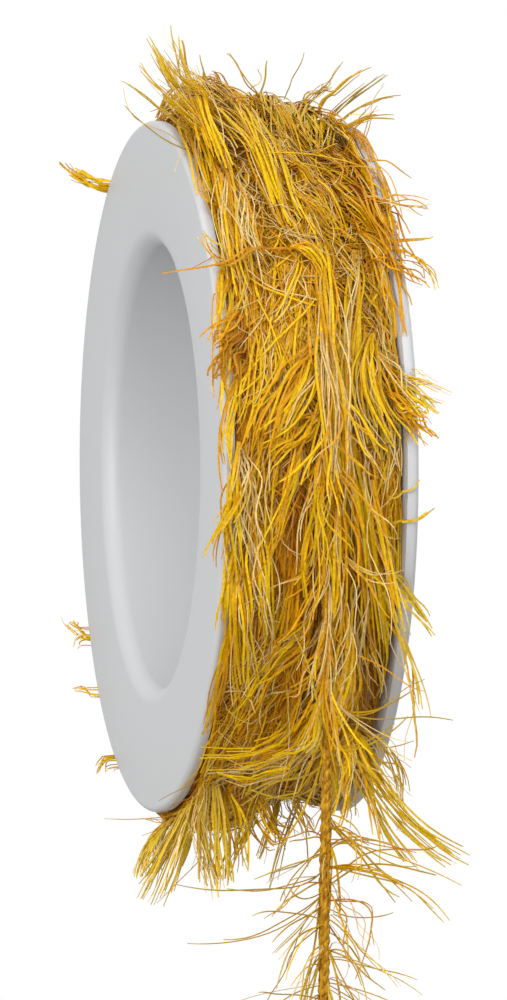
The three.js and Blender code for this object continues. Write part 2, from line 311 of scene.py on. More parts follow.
pile = spun("wound_pile", profile, PILE_STEPS)
co = np.empty(len(pile.data.vertices) * 3, np.float32)
pile.data.vertices.foreach_get("co", co)
co = co.reshape(-1, 3).astype(float) / MM
radius = np.hypot(co[:, 0], co[:, 2])
angle = np.degrees(np.arctan2(co[:, 2], co[:, 0])) % 360
clear_of_edge = PILE_HALF - abs(co[:, 1]) > 0.8
strand_lumps = 0.3 * np.sin(co[:, 1] * 7.3 + 2.2 * np.sin(np.radians(angle) * 7)) * clear_of_edge
wanted = np.where(radius > PILE_INNER + 1, pile_radius(angle, co[:, 1]) + strand_lumps, radius)
co[:, 0] *= wanted / radius
co[:, 2] *= wanted / radius
pile.data.vertices.foreach_set("co", (co * MM).astype(np.float32).ravel())
pile.data.update()

# Packed rayon filaments, streaked round the pile in brown and gold; the browns are partly
# the filaments' own and partly painted shade for the pile's place under the lashes.
pile_rayon, shader = new_material("packed_rayon_filaments", 0.7, 1.52)
tree = pile_rayon.node_tree
coords = nodes_of(pile_rayon, "ShaderNodeTexCoord", (-1100, 0))
stretch = nodes_of(pile_rayon, "ShaderNodeMapping", (-900, 0), Scale=(160.0, 3600.0, 160.0))
noise = nodes_of(pile_rayon, "ShaderNodeTexNoise", (-650, 0), Scale=1.0, Detail=3.0, Distortion=0.6)
ramp = nodes_of(pile_rayon, "ShaderNodeValToRGB", (-350, 0))
for element, (position, colour) in zip(
    [ramp.color_ramp.elements[0], ramp.color_ramp.elements[1], ramp.color_ramp.elements.new(0.5)],
    [(0.3, "A86408"), (0.72, "E4AC18"), (0.5, "CC880A")],
):
    element.position = position
    element.color = (*srgb(colour), 1)
bump = nodes_of(pile_rayon, "ShaderNodeBump", (-350, -300), Strength=0.8, Distance=0.0004)
tree.links.new(coords.outputs["Object"], stretch.inputs["Vector"])
tree.links.new(stretch.outputs["Vector"], noise.inputs["Vector"])
tree.links.new(noise.outputs["Fac"], ramp.inputs["Fac"])
tree.links.new(ramp.outputs["Color"], shader.inputs["Base Color"])
tree.links.new(noise.outputs["Fac"], bump.inputs["Height"])
tree.links.new(bump.outputs["Normal"], shader.inputs["Normal"])
pile.data.materials.append(pile_rayon)
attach(pile, "root")
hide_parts("wound_trim")


# ---------------------------------------------------------------- the reel
# One injection moulding in white polystyrene: two flat flanges and the open core between
# them, rounded into the bore, satin from its tool.

BORE_RADIUS = 32
BORE_FILLET = 2.5
CORE_RADIUS = 34
RIM_FILLET = 0.8
CHAMFER = 0.3
CHAMFER_BOW = 0.09


def fillet(centre_r, centre_y, radius, start, steps=8):
    """A quarter turn of the section, from one angle to the next."""
    turn = [math.radians(start + 90 * i / steps) for i in range(steps + 1)]
    return [(centre_r + radius * math.cos(a), centre_y + radius * math.sin(a)) for a in turn]


section = [
    *fillet(BORE_RADIUS + BORE_FILLET, BORE_FILLET - HALF_OUTSIDE, BORE_FILLET, 180),
    *fillet(FLANGE_RADIUS - RIM_FILLET, RIM_FILLET - HALF_OUTSIDE, RIM_FILLET, 270),
    (FLANGE_RADIUS, -HALF_INSIDE - CHAMFER),
    (FLANGE_RADIUS - CHAMFER_BOW, -HALF_INSIDE - CHAMFER_BOW),
    (FLANGE_RADIUS - CHAMFER, -HALF_INSIDE),
    (CORE_RADIUS, -HALF_INSIDE),
    (CORE_RADIUS, HALF_INSIDE),
    (FLANGE_RADIUS - CHAMFER, HALF_INSIDE),
    (FLANGE_RADIUS - CHAMFER_BOW, HALF_INSIDE + CHAMFER_BOW),
    (FLANGE_RADIUS, HALF_INSIDE + CHAMFER),
    *fillet(FLANGE_RADIUS - RIM_FILLET, HALF_OUTSIDE - RIM_FILLET, RIM_FILLET, 0),
    *fillet(BORE_RADIUS + BORE_FILLET, HALF_OUTSIDE - BORE_FILLET, BORE_FILLET, 90),
]
reel = spun("reel_moulding", section, 240)
reel.data.set_sharp_from_angle(angle=math.radians(40))

# Polystyrene, slightly grainy from its tool.
polystyrene, shader = new_material("white_polystyrene", 0.5, 1.59)
shader.inputs["Base Color"].default_value = (*srgb("BEBFC0"), 1)
coords = nodes_of(polystyrene, "ShaderNodeTexCoord", (-900, -300))
noise = nodes_of(polystyrene, "ShaderNodeTexNoise", (-600, -300), Scale=900.0, Detail=2.0)
bump = nodes_of(polystyrene, "ShaderNodeBump", (-300, -300), Strength=0.06, Distance=0.0002)
polystyrene.node_tree.links.new(coords.outputs["Object"], noise.inputs["Vector"])
polystyrene.node_tree.links.new(noise.outputs["Fac"], bump.inputs["Height"])
polystyrene.node_tree.links.new(bump.outputs["Normal"], shader.inputs["Normal"])
reel.data.materials.append(polystyrene)
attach(reel, "root")
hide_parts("reel")


# ---------------------------------------------------------------- the lashes on the pile
# Silky rayon filaments, 0.2 to 0.4 mm thick and about 20 mm long, that grow in locks
# from both sides of the trim's core. They lie combed over the next turn, cling to the
# pile, cross and swirl, and hang free at the underside. Gold ones make the ground, with
# flat shiny lemon ones and thin curly cream ones among them.

LASH_SIDES = 3
LASH_FLATNESS = 0.6
CLEARANCE = 0.2
RIM_CLEARANCE = 0.25
CLING_RADIUS = 48
# Painted shade along each lash, from root to tip: darker at the root, where the lashes over it shade it, and
# a little lighter at the tip.
ROOT_PAINTED_SHADE = [0.7, 0.95, 1.03]
# The kinds of lash by tint, thickness in millimetres and how far they waver.
TINTS = {
    "gold": srgb("D4960A"),
    "lemon": srgb("E4B80A"),
    "cream": srgb("E2C480"),
    "ochre": srgb("C2840A"),
    "brown": srgb("B06E08"),
    "olive": srgb("D2B238"),
}
WIDTHS = {"gold": 0.25, "lemon": 0.31, "cream": 0.17, "ochre": 0.26, "brown": 0.24, "olive": 0.27}
WAVES = {"gold": 0.48, "lemon": 0.24, "cream": 0.75, "ochre": 0.6, "brown": 0.48, "olive": 0.22}
# What a lock of each kind is made of.
MIXES = {
    "lemon": {"lemon": 0.6, "gold": 0.2, "cream": 0.2},
    "cream": {"cream": 0.6, "lemon": 0.25, "gold": 0.15},
    "gold": {"gold": 0.65, "lemon": 0.25, "cream": 0.1},
    "ochre": {"ochre": 0.6, "gold": 0.25, "brown": 0.15},
    "olive": {"olive": 0.6, "lemon": 0.25, "cream": 0.15},
}


def on_reel(angle, radius, y):
    """Places by their angle, distance from the axis and place along it."""
    turn = np.radians(angle)
    return np.stack([radius * np.cos(turn), y, radius * np.sin(turn)], -1)


def stay_clear(before, place, lift, squeeze, held=False):
    """Moves points out of the pile and the flanges, by the side that they came from."""
    radius = np.maximum(np.hypot(place[:, 0], place[:, 2]), 1)
    angle = np.degrees(np.arctan2(place[:, 2], place[:, 0])) % 360
    y = place[:, 1].copy()
    came_inside = np.abs(before[:, 1]) < HALF_INSIDE
    came_outside = np.abs(before[:, 1]) > HALF_OUTSIDE
    over_rim = np.hypot(before[:, 0], before[:, 2]) > FLANGE_RADIUS + CLEARANCE
    below = radius < FLANGE_RADIUS + RIM_CLEARANCE
    wall = HALF_INSIDE - CLEARANCE - squeeze
    y = np.where(came_inside & (held | ~over_rim & below), np.clip(y, -wall, wall), y)
    side = np.sign(before[:, 1])
    face = HALF_OUTSIDE + CLEARANCE
    y = np.where(came_outside & below & (np.abs(y) < face), side * face, y)
    least = np.where(np.abs(y) < HALF_INSIDE, pile_radius(angle, y) + lift, 0)
    on_rim = (np.abs(y) >= HALF_INSIDE - CLEARANCE) & (np.abs(y) <= HALF_OUTSIDE + 0.15)
    least = np.where(on_rim, FLANGE_RADIUS + RIM_CLEARANCE, least)
    wanted = np.maximum(radius, least)
    return np.stack([place[:, 0] * wanted / radius, y, place[:, 2] * wanted / radius], 1)


def grow(root, going, length, rings, weight, cling, lift, squeeze, swirl, held=False):
    """Paths from their roots: each bends down by its weight, clings to the pile by that
    share of its curve, turns sideways and outwards by its swirl, and stays clear."""
    going = unit(going)
    step = (length / (rings - 1))[:, None]
    place = root.copy()
    path = [place]
    for k in range(1, rings):
        out = unit(place * [1, 0, 1])
        bend = -out * cling[:, None] / CLING_RADIUS
        bend[:, 2] -= weight
        bend = bend + np.cross(going, out) * swirl[:, k - 1, :1] + out * swirl[:, k - 1, 1:]
        going = unit(going + step * bend)
        moved = stay_clear(place, place + going * step, lift, squeeze, held)
        going = unit(0.35 * going + 0.65 * unit(moved - place))
        place = moved
        path.append(place)
    return np.stack(path, 1)


def start_paths(angle, y, height, lean, rise):
    """Roots and first directions, from their places on the pile and their two turns."""
    root = on_reel(angle, pile_radius(angle % 360, y) + height, y)
    out = on_reel(angle, np.ones(len(angle)), np.zeros(len(angle)))
    comb = on_reel(angle - 90, np.ones(len(angle)), np.zeros(len(angle)))
    lean, rise = np.radians(lean)[:, None], np.radians(rise)[:, None]
    flat = comb * np.cos(lean) + np.array([0, 1, 0]) * np.sin(lean)
    return root, out * np.sin(rise) + flat * np.cos(rise)


def settle(path, depth):
    """Presses paths down to about that height over the pile at most."""
    radius = np.hypot(path[..., 0], path[..., 2])
    angle = np.degrees(np.arctan2(path[..., 2], path[..., 0])) % 360
    base = pile_radius(angle, np.clip(path[..., 1], -PILE_HALF, PILE_HALF))
    over = radius - base
    pressed = np.where(over > 0, depth * (1 - np.exp(-over / depth)), over)
    scale = np.where(np.abs(path[..., 1]) < HALF_INSIDE, (base + pressed) / radius, 1)
    return path * np.stack([scale, np.ones_like(scale), scale], -1)


def pick(kinds, count):
    """A kind of lash for each, by its share, with its tint and its width."""
    names = np.array(list(kinds))
    share = np.array(list(kinds.values()))
    kind = rng.choice(names, count, p=share / share.sum())
    tint = np.array([TINTS[k] for k in kind]) * rng.uniform(0.82, 1.08, (count, 1))
    width = np.array([WIDTHS[k] for k in kind]) * rng.uniform(0.75, 1.2, count)
    return kind, tint, width


def tangle(angle, y, height, lean, rise, length, curl, kinds, rings=8, depth=None, held=False):
    """Single lashes that go their own ways: paths, widths, tints and shades."""
    n = len(angle)
    kind, tint, width = pick(kinds, n)
    root, going = start_paths(angle, y, height, lean, rise)
    wave = np.array([WAVES[k] for k in kind])[:, None, None] * 0.16
    steady = rng.normal(0, 0.4, (n, 1, 2))
    swirl = (steady + rng.normal(0, 0.6, (n, rings - 1, 2))) * [1, 0.35] * wave * curl[:, None, None]
    weight = rng.uniform(0.01, 0.03, n)
    cling = rng.uniform(0.8, 1.3, n)
    squeeze = rng.uniform(0, 0.7, n)
    path = grow(root, going, length, rings, weight, cling, height - 0.4, squeeze, swirl, held)
    if depth:
        path = settle(path, depth)
    shade = np.interp(np.linspace(0, 1, rings), [0, 0.3, 1], ROOT_PAINTED_SHADE)
    return path, width, tint, np.broadcast_to(shade, (n, rings))


def fill_locks(guide, lashes, half_width, tip, kinds, lift, rings=9):
    """Fills each lock's own path with lashes, which start together at its root, lie side
    by side, waver a little, and close up or part at its tip."""
    each = np.repeat(np.arange(len(guide)), lashes)
    n = len(each)
    kind = np.empty(n, dtype="U8")
    tint, width = np.empty((n, 3)), np.empty(n)
    for mix in sorted(set(kinds)):
        mine = np.array(kinds)[each] == mix
        kind[mine], tint[mine], width[mine] = pick(MIXES[mix], mine.sum())
    along = unit(np.gradient(guide, axis=1))
    aside = unit(np.cross(along, unit(guide * [1, 0, 1])))
    raised = np.cross(aside, along)
    t = np.linspace(0, 1, rings)
    spot = t * rng.uniform(0.68, 1, n)[:, None] * (guide.shape[1] - 1)
    low = np.minimum(spot.astype(int), guide.shape[1] - 2)
    part = (spot - low)[..., None]
    row = each[:, None]
    path = guide[row, low] * (1 - part) + guide[row, low + 1] * part
    spread = 0.45 + 0.55 * smoothstep(t, 0, 0.4) + (tip[each, None] - 1) * t**2
    spread = spread * half_width[each, None]
    wave = np.array([WAVES[k] for k in kind])[:, None]
    turns = rng.uniform(0.5, 1.7, (2, n, 1))
    phase = rng.uniform(0, 1, (2, n, 1))
    waver = wave * (np.sin(2 * np.pi * (turns * t + phase)) - np.sin(2 * np.pi * phase))
    path = path + aside[row, low] * (rng.normal(0, 0.5, n)[:, None] * spread + waver[0])[..., None]
    up = rng.normal(0, 0.5, n)[:, None] * spread * 0.45 + 0.6 * waver[1]
    path = path + raised[row, low] * up[..., None]
    squeeze = rng.uniform(0, 0.6, n)
    for k in range(1, rings):
        path[:, k] = stay_clear(path[:, k - 1], path[:, k], lift[each], squeeze)
    shade = np.interp(t, [0, 0.3, 1], ROOT_PAINTED_SHADE)
    return path, width, tint, np.broadcast_to(shade, (n, rings))


# Painted shade turns amber as it deepens, in place of light passing through the lashes:
# powers for red, green, blue.
PAINTED_SHADE_TONE = (0.55, 1.0, 1.5)


def lash_mesh(name, groups):
    """One joined mesh of three-sided lashes, with a cell of the map for each of them."""
    points, faces, tints_with_painted_shade, places = [], [], [], []
    total = sum(len(group[0]) for group in groups)
    cells = math.ceil(math.sqrt(total))
    first_lash, first_point = 0, 0
    for path, width, tint, shade in groups:
        count, rings = path.shape[:2]
        across, over = frames_along(path, path[:, 0] * [1, 0, 1])
        taper = np.interp(np.linspace(0, 1, rings), [0, 0.1, 0.8, 1], [0.7, 1, 0.95, 0.55])
        turn = 2 * np.pi * np.arange(LASH_SIDES) / LASH_SIDES + np.pi / 6
        half = width[:, None, None] / 2 * taper[None, :, None]
        ring_points = (
            path[:, :, None]
            + across[:, :, None] * (half * np.cos(turn))[..., None]
            + over[:, :, None] * (half * np.sin(turn) * LASH_FLATNESS)[..., None]
        )
        points.append(ring_points.reshape(-1, 3))
        faces.append([f + first_point for f in tube_faces(count, rings, LASH_SIDES)])
        # Each lash's colour is its tint with its painted shade, deepened to amber; the mesh keeps it as its
        # "tint" attribute.
        colour = tint[:, None, None] * shade[:, :, None, None] ** np.array(PAINTED_SHADE_TONE)
        tints_with_painted_shade.append(np.broadcast_to(colour, (count, rings, LASH_SIDES, 3)).reshape(-1, 3))
        lash, rest = np.divmod(np.arange(count * rings * LASH_SIDES), rings * LASH_SIDES)
        ring, side = np.divmod(rest, LASH_SIDES)
        lash = lash + first_lash
        u = (lash % cells + 0.2 + 0.2 * side) / cells
        v = (lash // cells + 0.1 + 0.8 * ring / (rings - 1)) / cells
        places.append(np.stack([u, v], 1))
        first_lash += count
        first_point += count * rings * LASH_SIDES
    quads = np.concatenate([f[0] for f in faces])
    caps = np.concatenate([cap for f in faces for cap in f[1:]])
    piece = add_mesh(name, np.concatenate(points), [quads, caps])
    mesh = piece.data
    mesh.shade_flat()
    tints_with_painted_shade = np.concatenate(tints_with_painted_shade)
    tints_with_painted_shade = np.concatenate([tints_with_painted_shade, np.ones((len(tints_with_painted_shade), 1))], 1).astype(np.float32)
    mesh.color_attributes.new("tint", "FLOAT_COLOR", "POINT").data.foreach_set("color", tints_with_painted_shade.ravel())
    corner = np.empty(len(mesh.loops), np.int32)
    mesh.loops.foreach_get("vertex_index", corner)
    spots = np.concatenate(places)[corner].astype(np.float32)
    mesh.uv_layers.new(name="OFBake").data.foreach_set("uv", spots.ravel())
    mesh.materials.append(lash_rayon)
    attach(piece, "root")
    return piece


# Silky rayon: the tint of each lash comes from the mesh, with painted shade, darker at its
# root and in the hollows between the locks.
lash_rayon, shader = new_material(
    "silky_rayon_lashes",
    0.45,
    1.52,
    Specular_IOR_Level=0.25,
    Specular_Tint=(1.0, 0.84, 0.5, 1.0),
)
tree = lash_rayon.node_tree
coords = nodes_of(lash_rayon, "ShaderNodeTexCoord", (-1100, -200))
noise = nodes_of(lash_rayon, "ShaderNodeTexNoise", (-900, -200), Scale=2200.0, Detail=2.0)
level = nodes_of(
    lash_rayon, "ShaderNodeMapRange", (-700, -200), From_Min=0.3, From_Max=0.7, To_Min=0.76, To_Max=1.12
)
tint_and_shade_node = nodes_of(lash_rayon, "ShaderNodeAttribute", (-700, 100))
tint_and_shade_node.attribute_name = "tint"
mottled = nodes_of(lash_rayon, "ShaderNodeVectorMath", (-400, 0))
mottled.operation = "SCALE"
tree.links.new(coords.outputs["Object"], noise.inputs["Vector"])
tree.links.new(noise.outputs["Fac"], level.inputs["Value"])
tree.links.new(tint_and_shade_node.outputs["Color"], mottled.inputs[0])
tree.links.new(level.outputs["Result"], mottled.inputs["Scale"])
tree.links.new(mottled.outputs["Vector"], shader.inputs["Base Color"])

# How the lashes are combed, by place on the pile: lean is their turn towards +Y from
# straight round the pile, rise how steeply they leave it, both in degrees, and curl how
# frizzy they are.
COMBING = [
    {"angle": 78, "y": -8, "lean": 6, "rise": 26, "curl": 1.0, "reach": 14},
    {"angle": 60, "y": -6, "lean": 14, "rise": 10, "curl": 0.8, "reach": 12},
    {"angle": 66, "y": 7, "lean": 34, "rise": 16, "curl": 3.6, "reach": 14},
    {"angle": 48, "y": 6, "lean": 20, "rise": 12, "curl": 3.6, "reach": 12},
    {"angle": 38, "y": -8, "lean": 2, "rise": 10, "curl": 1.2, "reach": 9},
    {"angle": 32, "y": 1, "lean": 8, "rise": 8, "curl": 1.4, "reach": 9},
    {"angle": 24, "y": -5, "lean": -16, "rise": 10, "curl": 2.8, "reach": 8},
    {"angle": 12, "y": -7, "lean": -34, "rise": 12, "curl": 1.2, "reach": 8},
    {"angle": 14, "y": 2, "lean": 2, "rise": 6, "curl": 0.8, "reach": 8},
    {"angle": 14, "y": 9, "lean": 10, "rise": 8, "curl": 1.0, "reach": 9},
    {"angle": -10, "y": -10, "lean": 2, "rise": 4, "curl": 0.5, "reach": 9},
    {"angle": -12, "y": -4, "lean": 2, "rise": 3, "curl": 0.5, "reach": 9},
    {"angle": -12, "y": 3, "lean": -4, "rise": 4, "curl": 0.6, "reach": 9},
    {"angle": -14, "y": 9, "lean": 6, "rise": 5, "curl": 0.7, "reach": 9},
    {"angle": -34, "y": -7, "lean": -4, "rise": 4, "curl": 0.6, "reach": 10},
    {"angle": -46, "y": 0, "lean": -34, "rise": 10, "curl": 1.2, "reach": 12},
    {"angle": -66, "y": -9, "lean": -12, "rise": 6, "curl": 0.7, "reach": 12},
]


def combing(angle, y):
    """Lean, rise and curl at each place: the rows near it, and slow waves elsewhere."""
    turn = np.radians(angle)
    lean = 14 * np.sin(5 * turn + 0.25 * y) + 10 * np.sin(9 * turn - 0.4 * y + 2)
    rise = 10 + 5 * np.sin(7 * turn + 0.5 * y)
    curl = 1.1 + 0.5 * np.sin(4 * turn + 0.3 * y + 1)
    weight = np.full(len(angle), 0.5)
    lean, rise, curl = lean * weight, rise * weight, curl * weight
    for row in COMBING:
        away = (angle - row["angle"] + 180) % 360 - 180
        far = (away * 0.8 / row["reach"]) ** 2 + ((y - row["y"]) / (0.45 * row["reach"])) ** 2
        near = 4 * np.exp(-far)
        lean, rise, curl = lean + near * row["lean"], rise + near * row["rise"], curl + near * row["curl"]
        weight = weight + near
    return lean / weight, rise / weight, curl / weight


# The hollows between the locks, where painted shade darkens the lashes: the angle and the
# place along the axis of each, and how far it reaches round the pile and along it.
HOLLOWS = [
    (-14, -4, 8, 3),
    (-26, -1, 8, 3),
    (-22, -9, 6, 2),
    (30, 7, 8, 2.5),
    (44, -8, 6, 2),
    (-30, 9, 8, 2),
    (2, -5, 7, 2),
    (-5, 6, 9, 2),
    (-19, 4, 7, 1.6),
    (10, -11, 9, 1.8),
    (3, 2, 6, 1.8),
]
# How much painted shade a hollow adds at its middle, and the least light it leaves.
HOLLOW_SHADE_DEPTH = 0.52
LEAST_LIGHT = 0.4


def on_winding(place):
    """The angle of each place round the reel."""
    return np.degrees(np.arctan2(place[:, 2], place[:, 0]))


def in_shade(path):
    """How brightly each lash is painted: painted shade darkens it in the hollows between the locks."""
    angle, y = on_winding(path[:, 3]), path[:, 3, 1]
    light = np.ones(len(angle))
    for centre, along, reach_round, reach_along in HOLLOWS:
        away = (angle - centre + 180) % 360 - 180
        near = np.exp(-((away / reach_round) ** 2) - ((y - along) / reach_along) ** 2)
        light = light - HOLLOW_SHADE_DEPTH * near
    return np.maximum(light, LEAST_LIGHT)


# The stretches of trim whose lashes show: where each starts by winding angle from the
# loose end, and for how many degrees it runs.
TURNS = [
    {"node": "outer_turn_1", "start": 26, "run": 333.6},
    {"node": "outer_turn_2", "start": 359.6, "run": 360.6},
    {"node": "outer_turn_3", "start": 720.2, "run": 180},
    {"node": "lower_turn_1", "start": -354, "run": 354},
    {"node": "lower_turn_2", "start": -720, "run": 366},
]
# The ground under the locks, by height over the pile, lashes for each degree, and kinds.
GROUND_LAYERS = [
    # The lower layer is browner, partly painted shade for its place under the upper one.
    {"height": 0.1, "each": 3.0, "kinds": {"ochre": 0.5, "gold": 0.4, "brown": 0.1}},
    {"height": 0.8, "each": 2.6, "kinds": {"gold": 0.7, "ochre": 0.18, "lemon": 0.12}},
]
# The locks and the strays by degrees from one to the next, the threads by number for each
# degree. Near the flanges a lock leans out over the rim, but little over the near one.
LOCK_SPACING = 3.8
LOCK_LASHES = 14
LOCK_KINDS = ["lemon", "cream", "gold"]
EDGE_BAND = 7
NEAR_LEAN = -7
THREADS_EACH = 0.5
THREADS = {"cream": 0.75, "lemon": 0.25}
THREAD_LIGHT = 0.8
STRAY_SPACING = 60.0
STRAYS = {"gold": 0.5, "lemon": 0.35, "cream": 0.15}


def facing(winding, angle=0):
    """How squarely each place faces that angle: 1 at it, and 0 a quarter turn away."""
    return np.cos(np.radians(winding - angle))


for row in TURNS:
    groups = []
    for layer in GROUND_LAYERS:
        count = int(row["run"] * layer["each"])
        winding = row["start"] + rng.uniform(0, row["run"], count)
        y = np.clip(heading_y(winding) + rng.uniform(-2.6, 2.6, count), -ROOT_HALF, ROOT_HALF)
        lean, rise, curl = combing(winding % 360, y)
        lean = lean + rng.normal(0, 10, count) * curl
        rise = 0.4 * rise + rng.normal(0, 2, count) * curl
        height = layer["height"] + rng.uniform(0, 0.8, count)
        length = rng.uniform(14, 23, count)
        held = (rng.random(count) < 0.96) | (facing(winding) < 0.2)
        kinds = layer["kinds"]
        groups.append(tangle(winding, y, height, lean, rise, length, curl, kinds, 8, 1.9, held))

    count = int(row["run"] / LOCK_SPACING)
    winding = row["start"] + (np.arange(count) + rng.uniform(0, 1, count)) * LOCK_SPACING
    side = np.where(np.arange(count) % 2 == 0, 1, -1)
    y = np.clip(heading_y(winding) + side * rng.uniform(0.2, 2.4, count), -ROOT_HALF, ROOT_HALF)
    lean, rise, curl = combing(winding % 360, y)
    lean = lean + side * 4 + rng.normal(0, 9, count)
    rise = rise + rng.normal(0, 4, count)
    front = facing(winding, 15) > 0.2
    height = np.where(front, rng.uniform(0.5, 1.3, count), rng.uniform(0.8, 2.6, count))
    swirl = rng.normal(0, 0.014, (count, 1, 2)) + rng.normal(0, 0.012, (count, 11, 2))
    swirl = swirl * (0.4 + curl)[:, None, None]
    weight = rng.uniform(0.008, 0.03, count)
    cling = rng.uniform(0.7, 1.3, count)
    edge = (np.abs(y) > EDGE_BAND) & (facing(winding, 20) > 0.3)
    held = ~edge | (rng.random(count) < np.where(y < 0, 0.8, 0.45))
    lean = lean + np.where(edge & ~held, np.sign(y) * rng.uniform(1, 7, count), 0)
    lean = np.where(y < -EDGE_BAND, np.maximum(lean, NEAR_LEAN), lean)
    root, going = start_paths(winding, y, height, lean, 0.4 * rise + np.where(held, 0, 6))
    length = rng.uniform(17, 24, count)
    guide = grow(root, going, length, 12, weight, cling, height, np.full(count, 0.6), swirl, held)
    guide = settle(guide, 3.0)
    lashes = np.where(front, 0.6, 1) * rng.integers(LOCK_LASHES - 6, LOCK_LASHES + 7, count)
    lashes = lashes.astype(int)
    kinds = rng.choice(LOCK_KINDS, count, p=[0.4, 0.2, 0.4])
    half_width = rng.uniform(0.9, 1.9, count)
    groups.append(fill_locks(guide, lashes, half_width, rng.uniform(0.5, 1.8, count), kinds, height))

    count = int(row["run"] * THREADS_EACH)
    winding = row["start"] + rng.uniform(0, row["run"], count)
    y = np.clip(heading_y(winding) + rng.uniform(-2.4, 2.4, count), -ROOT_HALF, ROOT_HALF)
    lean, rise, curl = combing(winding % 360, y)
    lean = lean + rng.normal(0, 34, count)
    height = rng.uniform(1.6, 3.0, count)
    length = rng.uniform(10, 20, count)
    held = (rng.random(count) < 0.9) | (facing(winding) < 0.2)
    curl = rng.uniform(1.0, 3.6, count)
    threads = tangle(winding, y, height, lean, 0.5 * rise, length, curl, THREADS, 9, 3.4, held)
    clear = in_shade(threads[0]) > THREAD_LIGHT
    groups.append([part[clear] for part in threads])

    count = int(row["run"] / STRAY_SPACING) * 2
    winding = row["start"] + rng.uniform(0, row["run"], count)
    winding = winding[facing(winding) > -0.3]
    winding = winding[heading_y(winding) > -6]
    count = len(winding)
    y = np.clip(heading_y(winding) + rng.uniform(-2.4, 2.4, count), -ROOT_HALF, ROOT_HALF)
    lean = rng.normal(0, 40, count)
    rise = rng.uniform(14, 50, count)
    height = rng.uniform(2, 3, count)
    length = rng.uniform(10, 18, count)
    if count:
        groups.append(tangle(winding, y, height, lean, rise, length, np.ones(count), STRAYS))
    # Painted shade in the hollows between the locks darkens the lashes there.
    groups = [(path, width, tint, shade * in_shade(path)[:, None]) for path, width, tint, shade in groups]
    piece = lash_mesh("lashes_" + row["node"], groups)
    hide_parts(row["node"])

# The camera's frame in pixels, and its pixels for each millimetre at the reel's axis.
FRAME_WIDTH, FRAME_HEIGHT = 507, 1000
FRAME_SCALE = 6.91
